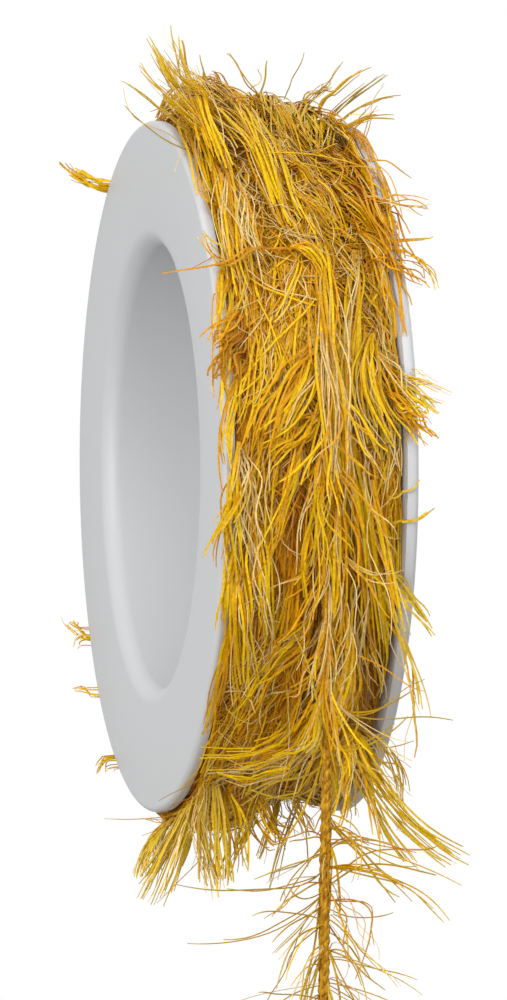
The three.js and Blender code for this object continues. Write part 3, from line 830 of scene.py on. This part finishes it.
# The locks that lie on top at the front, top and underside, placed as the camera
# sees them. Each has its kind, its number of lashes, its half width, how far it opens at
# the tip, and three places on its path: pixels across and down the camera's frame, and
# height over the pile.
TOP_LOCKS = [
    ("lemon", 16, 1.6, 1.6, (225, 160, 1), (203, 130, 6), (165, 93, 9)),
    ("olive", 14, 1.3, 1.2, (202, 112, 3), (174, 84, 9), (147, 37, 12)),
    ("olive", 8, 0.8, 1.2, (196, 100, 3), (182, 70, 9), (174, 25, 12)),
    ("lemon", 3, 0.8, 1.5, (203, 122, 2), (160, 88, 9), (129, 47, 12)),
    ("olive", 4, 0.9, 1.5, (208, 142, 2), (160, 108, 8), (121, 81, 9)),
    ("olive", 2, 0.6, 1.5, (205, 150, 2), (150, 132, 7), (115, 92, 10)),
    ("cream", 14, 1.5, 1.3, (243, 135, 2), (215, 97, 6), (187, 69, 8)),
    ("lemon", 16, 2.0, 1.0, (187, 118, 3), (198, 150, 4), (220, 222, 3)),
    ("olive", 2, 0.3, 1.5, (212, 100, 2), (205, 84, 8), (199, 49, 12)),
    ("olive", 2, 0.2, 1.5, (262, 104, 2), (238, 66, 8), (214, 55, 12)),
    ("olive", 2, 0.3, 1.5, (258, 104, 2), (260, 82, 8), (269, 58, 12)),
    ("lemon", 26, 2.2, 0.9, (226, 90, 3), (261, 156, 4), (293, 239, 3)),
    ("cream", 9, 1.4, 1.2, (278, 140, 3), (286, 193, 4), (323, 266, 3)),
    ("gold", 22, 1.8, 1.0, (214, 162, 3), (232, 226, 4), (244, 305, 3)),
    ("cream", 14, 1.5, 1.2, (232, 176, 3), (246, 226, 4), (267, 272, 3)),
    ("lemon", 12, 0.9, 1.2, (290, 248, 3), (316, 256, 4), (330, 296, 3)),
    ("gold", 24, 2.0, 1.0, (322, 240, 3), (329, 312, 4), (336, 398, 3)),
    ("lemon", 16, 1.6, 1.0, (357, 250, 3), (352, 322, 4), (346, 405, 3)),
    ("lemon", 18, 1.8, 1.0, (376, 235, 3), (387, 305, 3), (389, 375, 3)),
    ("gold", 20, 2.2, 1.3, (298, 120, 3), (340, 136, 4), (378, 182, 3)),
    ("gold", 16, 2.0, 1.4, (333, 180, 3), (366, 208, 4), (398, 255, 3)),
    ("gold", 16, 2.2, 1.4, (285, 170, 3), (325, 190, 4), (350, 250, 3)),
    ("gold", 3, 0.5, 1.5, (360, 190, 3), (392, 180, 5), (422, 171, 6)),
    ("gold", 3, 0.5, 2.0, (386, 272, 3), (414, 252, 5), (436, 236, 7)),
    ("gold", 4, 0.5, 2.2, (384, 262, 3), (415, 262, 5), (440, 260, 7)),
    ("olive", 4, 0.8, 1.2, (300, 118, 3), (322, 92, 7), (346, 62, 11)),
    ("olive", 7, 1.0, 1.4, (312, 126, 3), (350, 100, 6), (388, 72, 11)),
    ("olive", 3, 0.6, 1.5, (326, 124, 3), (365, 106, 6), (405, 96, 9)),
    ("olive", 1, 0.2, 1.0, (358, 146, 3), (372, 100, 7), (382, 60, 11)),
    ("olive", 1, 0.2, 1.0, (284, 100, 3), (294, 76, 7), (306, 48, 11)),
    ("ochre", 2, 0.4, 2.0, (292, 249, 4), (240, 256, 6), (162, 275, 8)),
    ("gold", 2, 0.4, 1.5, (232, 280, 3), (208, 252, 6), (188, 230, 7)),
    ("olive", 3, 0.4, 1.5, (238, 268, 4), (220, 250, 8.2), (200, 233, 9.4)),
    ("gold", 3, 0.5, 1.6, (222, 212, 3), (208, 196, 6), (194, 175, 7)),
    ("cream", 24, 2.0, 0.9, (325, 320, 3), (333, 430, 4.6), (342, 560, 3.4)),
    ("lemon", 22, 1.7, 0.9, (352, 325, 3), (346, 429, 4.8), (346, 559, 3.6)),
    ("lemon", 26, 1.9, 1.2, (352, 440, 3), (364, 527, 4.6), (388, 690, 3)),
    ("lemon", 15, 1.2, 1.1, (321, 452, 3), (316, 508, 5), (301, 577, 4)),
    ("lemon", 5, 0.5, 1.5, (316, 508, 4), (306, 560, 5), (306, 605, 4)),
    ("cream", 24, 1.8, 1.1, (241, 452, 3), (245, 508, 4.4), (252, 580, 3)),
    ("cream", 18, 1.4, 1.1, (258, 522, 2), (263, 587, 4), (267, 650, 3)),
    ("lemon", 10, 0.8, 1.2, (238, 442, 3), (235, 510, 4.5), (231, 580, 3.5)),
    ("gold", 28, 2.6, 1.2, (318, 352, 3), (285, 405, 4.6), (266, 466, 3.4)),
    ("cream", 8, 1.8, 1.2, (310, 336, 3), (300, 395, 5), (256, 434, 4)),
    ("gold", 16, 1.6, 1.3, (320, 412, 3), (293, 435, 4.5), (262, 458, 3.6)),
    ("lemon", 20, 2.0, 1.4, (372, 335, 4), (368, 389, 6.2), (396, 450, 5.4)),
    ("cream", 18, 1.6, 1.2, (363, 365, 3), (368, 419, 4.4), (381, 480, 3.2)),
    ("cream", 6, 0.8, 1.3, (372, 346, 4), (400, 389, 6.7), (424, 436, 7.4)),
    ("gold", 16, 1.0, 2.6, (386, 392, 4), (406, 408, 6.7), (429, 412, 7.9)),
    ("gold", 10, 0.8, 2.4, (398, 402, 4), (412, 420, 6.7), (432, 444, 7.9)),
    ("cream", 2, 0.3, 1.5, (362, 472, 5.5), (385, 515, 8.2), (411, 558, 8.5)),
    ("olive", 1, 0.2, 1.0, (388, 496, 4.5), (410, 490, 8.2), (436, 456, 10.5)),
    ("olive", 2, 0.3, 1.2, (390, 524, 4.5), (415, 521, 8.2), (441, 507, 10.5)),
    ("lemon", 2, 0.4, 1.5, (238, 490, 3), (216, 526, 6), (202, 576, 7)),
    ("lemon", 2, 0.3, 1.3, (236, 392, 3), (231, 420, 5.5), (225, 464, 6)),
    ("ochre", 14, 1.4, 1.8, (242, 312, 3), (228, 330, 5), (212, 350, 5)),
    ("ochre", 12, 1.4, 1.8, (244, 336, 3), (226, 360, 5), (214, 388, 4.5)),
    ("olive", 4, 0.6, 1.6, (392, 572, 4.5), (412, 604, 7.7), (434, 640, 9.5)),
    ("lemon", 20, 1.6, 1.2, (238, 560, 3), (246, 640, 4), (254, 712, 3)),
    ("gold", 16, 1.5, 1.2, (300, 560, 1.5), (284, 640, 3), (262, 700, 2.5)),
    ("cream", 10, 1.4, 1.2, (329, 600, 3), (292, 636, 4.6), (258, 694, 3.6)),
    ("gold", 14, 1.8, 1.2, (314, 610, 3), (277, 667, 4), (243, 718, 3)),
    ("lemon", 30, 2.6, 1.2, (343, 645, 3), (318, 712, 6), (200, 758, 6.5)),
    ("lemon", 24, 2.2, 1.3, (347, 690, 3), (305, 752, 6.5), (212, 772, 7)),
    ("cream", 14, 2.0, 1.4, (346, 668, 3), (312, 735, 6.8), (216, 768, 7)),
    ("cream", 10, 1.0, 1.2, (363, 572, 3), (357, 627, 5), (360, 688, 4)),
    ("cream", 7, 0.8, 1.6, (369, 622, 3), (375, 667, 5), (383, 706, 5)),
    ("olive", 4, 0.7, 2.2, (384, 592, 4.5), (415, 665, 8.2), (432, 755, 11.5)),
    ("lemon", 3, 0.6, 1.8, (386, 620, 4.5), (412, 690, 9.2), (406, 762, 12.5)),
    ("olive", 3, 0.6, 1.8, (388, 580, 4.5), (412, 612, 8.2), (438, 645, 10.5)),
    ("lemon", 12, 1.0, 3.2, (345, 725, 4), (372, 762, 8), (402, 812, 12)),
    ("cream", 10, 0.8, 2.6, (344, 728, 4), (346, 770, 7), (330, 826, 10)),
    ("olive", 8, 0.8, 3.0, (345, 728, 4), (388, 750, 8), (402, 810, 12)),
    ("olive", 22, 1.6, 1.6, (176, 806, 3), (165, 850, 7), (139, 888, 12)),
    ("cream", 16, 1.4, 1.4, (203, 782, 3), (206, 841, 8), (222, 902, 14)),
    ("olive", 18, 1.4, 1.5, (192, 792, 3), (186, 836, 8), (160, 910, 14)),
    ("lemon", 14, 1.5, 1.6, (224, 786, 3), (232, 838, 8), (228, 892, 13)),
    ("gold", 12, 1.6, 1.8, (240, 790, 3), (262, 822, 7), (288, 846, 10)),
    ("olive", 14, 1.6, 1.6, (262, 790, 3), (246, 830, 7), (232, 862, 11)),
    ("cream", 12, 1.6, 1.8, (290, 786, 3), (300, 814, 6), (318, 838, 9)),
]
# The same for locks that come out from behind the near flange.
BEHIND_LOCKS = [
    ("lemon", 10, 1.0, 1.2, (116, 200, 1), (88, 184, 6), (60, 166, 9)),
    ("lemon", 6, 0.8, 1.4, (110, 196, 1), (92, 178, 6), (72, 168, 8)),
    ("lemon", 8, 0.8, 1.2, (98, 642, 2), (82, 628, 5), (68, 617, 7)),
    ("gold", 6, 0.8, 1.3, (98, 652, 2), (86, 640, 5), (76, 648, 6)),
    ("gold", 5, 0.6, 1.3, (104, 700, 2), (88, 692, 5), (72, 686, 7)),
    ("lemon", 6, 0.7, 1.2, (116, 738, 2), (106, 758, 5), (96, 779, 7)),
    ("gold", 4, 0.5, 1.2, (122, 752, 2), (114, 768, 5), (110, 778, 6)),
]
# The same for the locks over the edges and ridges of the first ones.
UPPER_LOCKS = [
    ("gold", 18, 2.0, 1.3, (322, 124, 3.5), (358, 142, 6.4), (386, 196, 6.4)),
    ("gold", 18, 1.8, 1.2, (345, 146, 3.5), (376, 184, 6.4), (394, 246, 6.4)),
    ("ochre", 12, 1.4, 1.4, (352, 184, 3.5), (384, 228, 6.4), (402, 286, 6.4)),
    ("gold", 12, 1.2, 1.2, (360, 232, 3.5), (390, 280, 6.4), (405, 340, 5.9)),
    ("gold", 8, 0.8, 1.6, (352, 160, 4.5), (386, 166, 8.4), (412, 188, 9.4)),
    ("gold", 8, 0.8, 1.8, (360, 204, 4.5), (396, 204, 7.9), (428, 214, 8.9)),
    ("ochre", 6, 0.6, 1.8, (368, 262, 4.5), (400, 268, 7.4), (430, 290, 7.4)),
    ("lemon", 20, 2.0, 1.0, (206, 112, 5), (228, 120, 7), (262, 170, 4)),
    ("lemon", 18, 1.6, 1.1, (196, 96, 6), (206, 120, 8), (226, 170, 4.5)),
    ("lemon", 10, 1.0, 1.3, (236, 100, 5), (222, 86, 8), (196, 72, 11)),
    ("cream", 8, 1.0, 1.4, (214, 118, 4), (186, 104, 8), (152, 62, 12)),
    ("lemon", 8, 0.8, 1.5, (210, 130, 3), (180, 110, 7), (140, 70, 10)),
    ("lemon", 14, 1.4, 1.2, (225, 160, 3), (228, 230, 4.5), (240, 300, 3.5)),
    ("lemon", 10, 0.9, 1.3, (228, 250, 3), (222, 300, 4.6), (218, 356, 5)),
    ("gold", 10, 0.9, 1.3, (232, 300, 3), (224, 360, 4.4), (222, 420, 4)),
    ("gold", 9, 0.8, 1.3, (236, 380, 3), (226, 430, 4.2), (228, 492, 4)),
    ("ochre", 8, 0.9, 1.5, (240, 470, 3), (228, 520, 4.2), (226, 566, 4)),
    ("gold", 10, 1.0, 1.3, (236, 540, 3), (226, 590, 4.2), (224, 650, 4)),
    ("gold", 10, 1.0, 1.3, (228, 620, 3), (218, 680, 4.2), (206, 740, 5)),
    ("olive", 8, 1.2, 2.6, (362, 752, 4), (408, 818, 9), (484, 866, 13)),
    ("olive", 7, 1.2, 2.4, (366, 762, 4), (404, 826, 9), (470, 872, 13)),
    ("olive", 6, 1.0, 2.2, (358, 768, 4), (388, 830, 8), (424, 876, 11)),
    ("lemon", 5, 0.8, 1.6, (352, 752, 4), (372, 800, 7), (374, 880, 9)),
    ("olive", 2, 0.4, 1.4, (376, 748, 4), (402, 776, 7), (392, 826, 8)),
    ("lemon", 14, 1.2, 1.6, (338, 742, 4), (336, 790, 6), (322, 836, 8)),
    ("cream", 8, 1.0, 1.8, (342, 744, 4), (352, 784, 6), (356, 830, 8)),
    ("olive", 20, 1.6, 1.3, (168, 806, 3), (150, 846, 8), (138, 880, 12)),
    ("olive", 16, 1.4, 1.3, (184, 800, 3), (166, 848, 8), (140, 900, 13)),
    ("gold", 14, 1.4, 1.3, (162, 806, 3), (158, 846, 7), (156, 880, 11)),
    ("olive", 14, 1.4, 1.4, (204, 782, 3), (204, 838, 8), (212, 896, 14)),
    ("olive", 14, 1.3, 1.4, (214, 780, 3), (218, 842, 8), (222, 898, 14)),
    ("gold", 10, 1.2, 1.6, (250, 794, 2), (268, 818, 5), (284, 850, 8)),
    ("olive", 8, 1.0, 1.6, (280, 790, 2), (272, 824, 5), (252, 872, 9)),
    ("olive", 4, 0.6, 1.6, (300, 796, 3), (284, 838, 7), (266, 900, 10)),
    ("gold", 16, 1.4, 1.2, (330, 450, 4), (332, 540, 5), (322, 640, 4.5)),
    ("cream", 10, 1.2, 1.3, (338, 500, 4.5), (336, 590, 6.5), (318, 680, 6)),
    ("lemon", 8, 0.9, 1.3, (322, 500, 4), (330, 570, 5.5), (334, 650, 6)),
    ("gold", 14, 1.4, 1.3, (340, 590, 5), (332, 660, 9), (300, 735, 8)),
    ("cream", 8, 1.0, 1.5, (346, 610, 6), (338, 680, 10), (306, 742, 9)),
    ("lemon", 8, 0.8, 1.5, (352, 630, 6), (345, 700, 10), (322, 768, 11)),
    ("olive", 6, 0.8, 1.8, (330, 650, 9), (318, 716, 11.5), (270, 760, 10)),
    ("gold", 10, 1.2, 1.4, (300, 440, 3), (286, 500, 4), (262, 560, 4)),
    ("lemon", 7, 0.7, 1.3, (372, 480, 4.5), (384, 560, 7.7), (402, 640, 9)),
    ("olive", 14, 1.4, 1.3, (222, 120, 4), (190, 84, 9), (160, 48, 13)),
    ("lemon", 14, 1.6, 1.2, (236, 128, 4), (208, 98, 8), (182, 62, 12)),
    ("lemon", 12, 1.4, 1.2, (216, 140, 4), (196, 112, 8), (172, 84, 11)),
    ("olive", 6, 0.6, 1.8, (300, 112, 5), (318, 92, 8), (340, 84, 10)),
    ("olive", 6, 0.6, 1.6, (330, 128, 5), (362, 118, 8), (396, 116, 9)),
    ("lemon", 5, 0.5, 1.5, (318, 116, 5), (336, 92, 9), (372, 66, 12)),
    ("olive", 14, 1.2, 1.6, (396, 380, 5), (416, 400, 7.5), (434, 418, 8.5)),
    ("olive", 8, 0.8, 1.6, (402, 390, 5), (420, 396, 8), (438, 384, 9)),
    ("gold", 6, 0.6, 1.5, (396, 250, 5), (420, 262, 7.5), (440, 290, 8)),
]
# Low locks that cross the top from one flange to the other, a millimetre apart from this
# place along the axis: their heights and kinds.
CREST_START = -7
CREST_ANGLE = 88
CREST_LOCKS = [
    (5.8, "olive"),
    (5.6, "lemon"),
    (5.2, "olive"),
    (4.8, "gold"),
    (4.6, "lemon"),
    (4.4, "olive"),
    (4.0, "gold"),
    (3.8, "lemon"),
    (4.0, "olive"),
    (4.4, "olive"),
    (5.0, "lemon"),
    (5.3, "gold"),
    (5.6, "olive"),
    (5.8, "lemon"),
    (5.8, "olive"),
    (5.6, "gold"),
    (5.0, "lemon"),
    (4.4, "olive"),
    (3.6, "gold"),
]
# A lock sinks a little into what lies under it. One whose tip is this high stands free
# and reaches forwards by a share of its height. The search for where a spot of the frame
# meets the pile starts nearer the camera than any of it, or farther away.
LOCK_SINK = 1.2
FREE_TIP = 9
FREE_REACH = 0.25
NEAR_ROOT_HEIGHT = 2.4
SEEN_NEAREST = 62
SEEN_FARTHEST = -70
SEARCH_STEP = 0.1
PAST_THE_TOP = -8
TOP_LIFT = 1.4
TOP_WIDTH = 1.3


def seen_at(spot, near, distance=CAMERA_DISTANCE):
    """Places at one spot of the camera's frame, by how near the camera they are."""
    pixel = (1 - near * MM / distance) / FRAME_SCALE
    aside = TARGET_ASIDE / MM + (spot[0] - FRAME_WIDTH / 2) * pixel
    above = TARGET_ABOVE / MM - (spot[1] - FRAME_HEIGHT / 2) * pixel
    across, up = np.multiply.outer(aside, rightward), np.multiply.outer(above, upward)
    return across + up + np.multiply.outer(near, backward)


def seen_in_front(spot, front, distance=CAMERA_DISTANCE):
    """The place at a spot of the camera's frame that is so far in front of the axis."""
    start = seen_at(spot, 0.0, distance)
    step = seen_at(spot, 1.0, distance) - start
    return start + step * (front - start[0]) / step[0]


def seen_on_pile(spot, height, behind):
    """Where a spot of the camera's frame meets that height over the pile, searched from
    the camera's side or from behind: its angle, place along the axis and height."""
    start = SEEN_FARTHEST if behind else SEEN_NEAREST
    near = np.linspace(start, 0, round(abs(start) / SEARCH_STEP) + 1)
    place = seen_at(spot, near)
    angle = on_winding(place) % 360
    over = np.hypot(place[:, 0], place[:, 2]) - pile_radius(angle, place[:, 1])
    gap = over - max(height - LOCK_SINK, LOCK_SINK)
    front = -place[:, 0] if behind else place[:, 0]
    met = (gap[1:] * gap[:-1] <= 0) & (front[1:] > PAST_THE_TOP)
    found = np.argmax(met) + 1 if met.any() else np.argmin(np.abs(gap))
    below_front = not behind and angle[found] > 200
    return np.round([angle[found] - 360 * below_front, place[found, 1], over[found]], 1)


def seen_off_pile(spot, front):
    """The same for a place that is so far in front of the axis."""
    place = seen_in_front(spot, front)
    angle = on_winding(place[None])[0]
    base = pile_radius(angle % 360, np.clip(place[1], -ROOT_HALF, ROOT_HALF))
    return np.round([angle, place[1], np.hypot(place[0], place[2]) - base], 1)


def lock_places(row, behind=False):
    """The three places of a lock. One with a high tip stands up across the view."""
    (*root_spot, root_height), *others = row[4:]
    root = seen_on_pile(root_spot, root_height, behind)
    root_front = (pile_radius(root[0] % 360, root[1]) + root[2]) * np.cos(np.radians(root[0]))
    places = [root]
    for *spot, height in others:
        if others[-1][2] >= FREE_TIP and not behind:
            places.append(seen_off_pile(spot, root_front + FREE_REACH * (height - root_height)))
        else:
            places.append(seen_on_pile(spot, height, behind))
    if root[1] < -PILE_HALF:
        root[2] = max(root[2], NEAR_ROOT_HEIGHT)
    root[1] = np.clip(root[1], -PILE_HALF, PILE_HALF)
    return places


def bowed(places):
    """A smooth guide through the three places of each lock."""
    start, middle, end = [places[:, i, None] for i in range(3)]
    t = np.linspace(0, 1, 14)[:, None]
    return (1 - t) * (1 - 2 * t) * start + 4 * t * (1 - t) * middle + t * (2 * t - 1) * end


rows = TOP_LOCKS + BEHIND_LOCKS + UPPER_LOCKS
places = [lock_places(row, behind=row in BEHIND_LOCKS) for row in rows]
chance = random.Random(5)
for y, (height, kind) in enumerate(CREST_LOCKS, start=CREST_START):
    angle = CREST_ANGLE + chance.uniform(-7, 7)
    slant = chance.choice([-1, 1]) * chance.uniform(1.0, 4.5)
    root = (angle + 13, min(y - 0.8 * slant, PILE_HALF), max(1.0, height - 3.4))
    end = (angle - 15, np.clip(y + slant, -HALF_INSIDE, HALF_INSIDE), max(1.0, height - 3.0))
    places.append(np.round([root, (angle, y, height), end], 1))
    lashes = chance.randint(12, 18)
    half_width = round(chance.uniform(1.3, 2.0), 1)
    rows.append((kind, lashes, half_width, round(chance.uniform(1.0, 1.7), 1)))
guides = bowed(np.array(places))
seat = pile_radius(guides[..., 0] % 360, np.clip(guides[..., 1], -ROOT_HALF, ROOT_HALF))
guides = on_reel(guides[..., 0], seat + guides[..., 2], guides[..., 1])
kinds, lashes, half_width, tip = [np.array([row[i] for row in rows]) for i in range(4)]
lift = np.full(len(guides), TOP_LIFT)
path, width, tint, shade = fill_locks(guides, lashes, half_width, tip, kinds, lift, rings=12)
piece = lash_mesh("lashes_top_locks", [(path, width * TOP_WIDTH, tint, shade)])
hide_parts("outer_turn_1")


# ---------------------------------------------------------------- the loose end's lashes
# The same lashes on the cord that hangs free. They go out to both sides in twos and
# threes, bow under their own weight, and some curl.

TAIL_RINGS = 16
TAIL_LIFT = 2.2
TAIL_ROOT = 0.62
TAIL_WIDTH = 1.2
TAIL_LOCK_WIDTH = 1.3
TAIL_LOCK_LIGHT = 0.92
CORD_FRONT = 48
TAIL_VIEW_DISTANCE = 3.6
# The locks that stand out, as in the table of the top locks, but as seen from a little
# farther away and with the last number of each place its distance in front of the cord.
TAIL_LOCKS = [
    ("olive", 2, 0.5, 1.5, (324, 868, 0), (268, 888, 2), (170, 880, 4)),
    ("olive", 2, 0.4, 1.4, (323, 893, 0), (262, 932, 3), (186, 941, 5)),
    ("gold", 2, 0.4, 1.6, (323, 880, 0), (296, 894, 2), (266, 922, 3)),
    ("olive", 3, 0.5, 1.5, (322, 905, 0), (300, 930, 2), (262, 968, 4)),
    ("olive", 2, 0.5, 1.3, (322, 925, 0), (296, 945, 1), (280, 990, 2)),
    ("lemon", 3, 0.5, 1.6, (322, 945, 0), (306, 962, 2), (296, 1004, 3)),
    ("olive", 2, 0.4, 1.3, (324, 850, 0), (300, 862, 2), (248, 880, 3)),
    ("gold", 2, 0.4, 1.5, (325, 836, 0), (300, 838, 2), (262, 852, 4)),
    ("olive", 1, 0.2, 1.0, (323, 872, 0), (292, 888, 2), (286, 906, 2)),
    ("olive", 1, 0.2, 1.0, (323, 890, 0), (300, 900, 1), (288, 884, 2)),
    ("lemon", 4, 0.6, 1.5, (330, 866, 0), (372, 868, 2), (412, 892, 4)),
    ("olive", 3, 0.5, 1.8, (330, 866, 0), (404, 884, 3), (453, 929, 5)),
    ("gold", 3, 0.5, 1.6, (330, 846, 0), (376, 842, 3), (470, 880, 6)),
    ("olive", 3, 0.4, 1.4, (331, 828, 0), (352, 832, 1), (378, 850, 2)),
    ("lemon", 3, 0.5, 1.4, (330, 880, 0), (358, 916, 2), (374, 964, 3)),
    ("lemon", 3, 0.5, 1.3, (329, 890, 0), (346, 926, 2), (350, 1000, 3)),
    ("olive", 3, 0.5, 1.5, (330, 914, 0), (362, 944, 3), (408, 1000, 4)),
    ("gold", 2, 0.4, 1.5, (330, 900, 0), (372, 918, 3), (352, 990, 3)),
    ("olive", 1, 0.2, 1.0, (330, 908, 0), (374, 918, 3), (416, 894, 5)),
    ("cream", 2, 0.4, 1.5, (331, 820, 0), (322, 862, 1.5), (336, 915, 2)),
    ("lemon", 3, 0.5, 1.5, (329, 950, 0), (350, 962, 2), (366, 1010, 3)),
    ("olive", 2, 0.4, 1.5, (322, 965, 0), (300, 972, 2), (276, 1015, 3)),
    ("olive", 2, 0.4, 1.5, (329, 978, 0), (352, 992, 2), (372, 1035, 3)),
    ("gold", 2, 0.4, 1.5, (322, 992, 0), (302, 1010, 2), (290, 1045, 2)),
]
# Other locks, by stretches of the cord's height: how many grow there, how far they fan to
# the front in radians, how steeply they point down in degrees and how much that varies,
# and their lengths. Where the cord lies on the pile they hide it.
TAIL_ROWS = [
    {"span": (-30, 15), "locks": 40, "fan": 1.2, "down": 80, "vary": 6, "long": (13, 19), "kind": "gold"},
    {"span": (-36, 0), "locks": 14, "fan": 0.4, "down": 66, "vary": 16, "long": (14, 20), "kind": "cream"},
    {"span": (-50, -34), "locks": 10, "fan": 0.2, "down": 36, "vary": 34, "long": (14, 22), "kind": "olive"},
    {"span": (-82, -50), "locks": 18, "fan": 0.12, "down": 24, "vary": 40, "long": (12, 22), "kind": "olive"},
    {"span": (-82, -50), "locks": 12, "fan": 0.3, "down": 40, "vary": 44, "long": (12, 20), "kind": "lemon"},
]

tail_groups = []
for row in TAIL_ROWS:
    locks = row["locks"]
    spot = np.interp(-rng.uniform(*row["span"], locks), -centres[:, 2], reach)
    size = rng.integers(1, 4, locks)
    each = np.repeat(np.arange(locks), size)
    n = len(each)
    along = np.clip(spot[each] + rng.normal(0, 0.25, n), 6, reach[-1] - 0.3)
    middle = np.stack([np.interp(along, reach, centres[:, i]) for i in range(3)], 1)
    side = rng.choice([-1, 1], locks)[each]
    down = np.radians(rng.normal(row["down"], row["vary"], locks)[each] + rng.normal(0, 5, n))
    fan = rng.normal(row["fan"], 0.42, locks)[each] + rng.normal(0, 0.08, n)
    flat = np.stack([np.sin(fan), side * np.cos(fan), np.zeros(n)], 1)
    going = flat * np.cos(down)[:, None] - [0, 0, 1] * np.sin(down)[:, None]
    place = middle + unit(flat + [0.6, 0, 0]) * TAIL_ROOT
    length = rng.uniform(*row["long"], locks)[each] * rng.uniform(0.75, 1, n)
    step = (length / (TAIL_RINGS - 1))[:, None]
    bend = rng.normal(0, 0.045, (locks, 3))[each] + rng.normal(0, 0.02, (n, 3))
    turn = rng.normal(0, 0.08, (locks, 3))[each] + rng.normal(0, 0.03, (n, 3))
    phase = rng.uniform(0, 6.3, locks)[each][:, None]
    weight = rng.uniform(0.006, 0.035, locks)[each]
    path = [place]
    for k in range(1, TAIL_RINGS):
        curve = np.cross(bend + turn * np.sin(phase + 0.5 * k), going)
        curve[:, 2] -= weight
        going = unit(going + step * curve)
        place = stay_clear(place, place + going * step, TAIL_LIFT, CLEARANCE)
        path.append(place)
    kind, tint, width = pick(MIXES[row["kind"]], n)
    # Painted shade: each lash is darker towards its root at the cord.
    shade = np.broadcast_to(np.linspace(0.85, 1, TAIL_RINGS), (n, TAIL_RINGS))
    tail_groups.append((np.stack(path, 1), width * TAIL_WIDTH, tint, shade))
places = [
    [np.round(seen_in_front(spot, CORD_FRONT + ahead, TAIL_VIEW_DISTANCE), 1) for *spot, ahead in row[4:]]
    for row in TAIL_LOCKS
]
guides = bowed(np.array(places))
kinds, lashes, half_width, tip = [np.array([row[i] for row in TAIL_LOCKS]) for i in range(4)]
lift = np.full(len(guides), TAIL_LIFT)
path, width, tint, shade = fill_locks(guides, lashes, half_width, tip, kinds, lift, TAIL_RINGS)
tail_groups.append((path, width * TAIL_LOCK_WIDTH, tint, shade * TAIL_LOCK_LIGHT))
tail = lash_mesh("loose_lashes", tail_groups)
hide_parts("loose_end_lashes")


# ---------------------------------------------------------------- floor and light
# The floor lies far below the loose end. The sky lights from above more than from below
# but is seen as plain white, and four large lamps stand above, in front, at the near
# flange's side and behind.

bpy.ops.mesh.primitive_plane_add(size=1.2, location=(0, 0, -0.6))
floor = bpy.context.object
floor.name = "floor"
floor_paint, shader = new_material("pale_floor", 0.8, 1.45)
shader.inputs["Base Color"].default_value = (0.45, 0.45, 0.45, 1)
floor.data.materials.append(floor_paint)

world = bpy.data.worlds.new("studio")
bpy.context.scene.world = world
world.use_nodes = True
tree = world.node_tree
seen = tree.nodes.new("ShaderNodeBackground")
seen.inputs["Color"].default_value = (1, 1, 1, 1)
seen.inputs["Strength"].default_value = 1.0
sky = tree.nodes["Background"]
place = tree.nodes.new("ShaderNodeTexCoord")
parts = tree.nodes.new("ShaderNodeSeparateXYZ")
tones = tree.nodes.new("ShaderNodeValToRGB")
tones.color_ramp.elements[0].position = 0.0
tones.color_ramp.elements[0].color = (0.1, 0.1, 0.1, 1)
tones.color_ramp.elements[1].position = 1.0
tones.color_ramp.elements[1].color = (0.95, 0.95, 0.95, 1)
level = tones.color_ramp.elements.new(0.5)
level.color = (0.72, 0.72, 0.72, 1)
scale = tree.nodes.new("ShaderNodeMapRange")
scale.inputs["From Min"].default_value = -0.6
scale.inputs["From Max"].default_value = 0.6
tree.links.new(place.outputs["Generated"], parts.inputs["Vector"])
tree.links.new(parts.outputs["Z"], scale.inputs["Value"])
tree.links.new(scale.outputs["Result"], tones.inputs["Fac"])
tree.links.new(tones.outputs["Color"], sky.inputs["Color"])
path_node = tree.nodes.new("ShaderNodeLightPath")
mix = tree.nodes.new("ShaderNodeMixShader")
tree.links.new(path_node.outputs["Is Camera Ray"], mix.inputs["Fac"])
tree.links.new(sky.outputs["Background"], mix.inputs[1])
tree.links.new(seen.outputs["Background"], mix.inputs[2])
tree.links.new(mix.outputs["Shader"], tree.nodes["World Output"].inputs["Surface"])

for name, location, size, watts in [
    ("key", (0.95, 0.0, 0.85), 0.6, 5.8),
    ("front", (1.2, 0.1, -0.1), 0.8, 1.3),
    ("side", (0.8, -1.0, 0.1), 0.7, 9.3),
    ("back", (-1.0, 0.8, 0.4), 0.8, 6.0),
]:
    lamp_data = bpy.data.lights.new(name, "AREA")
    lamp_data.size = size
    lamp_data.energy = watts
    lamp = bpy.data.objects.new(name, lamp_data)
    lamp.location = location
    lamp.rotation_euler = Vector(location).to_track_quat("Z", "Y").to_euler()
    bpy.context.scene.collection.objects.link(lamp)

bpy.context.scene.view_settings.view_transform = "Standard"
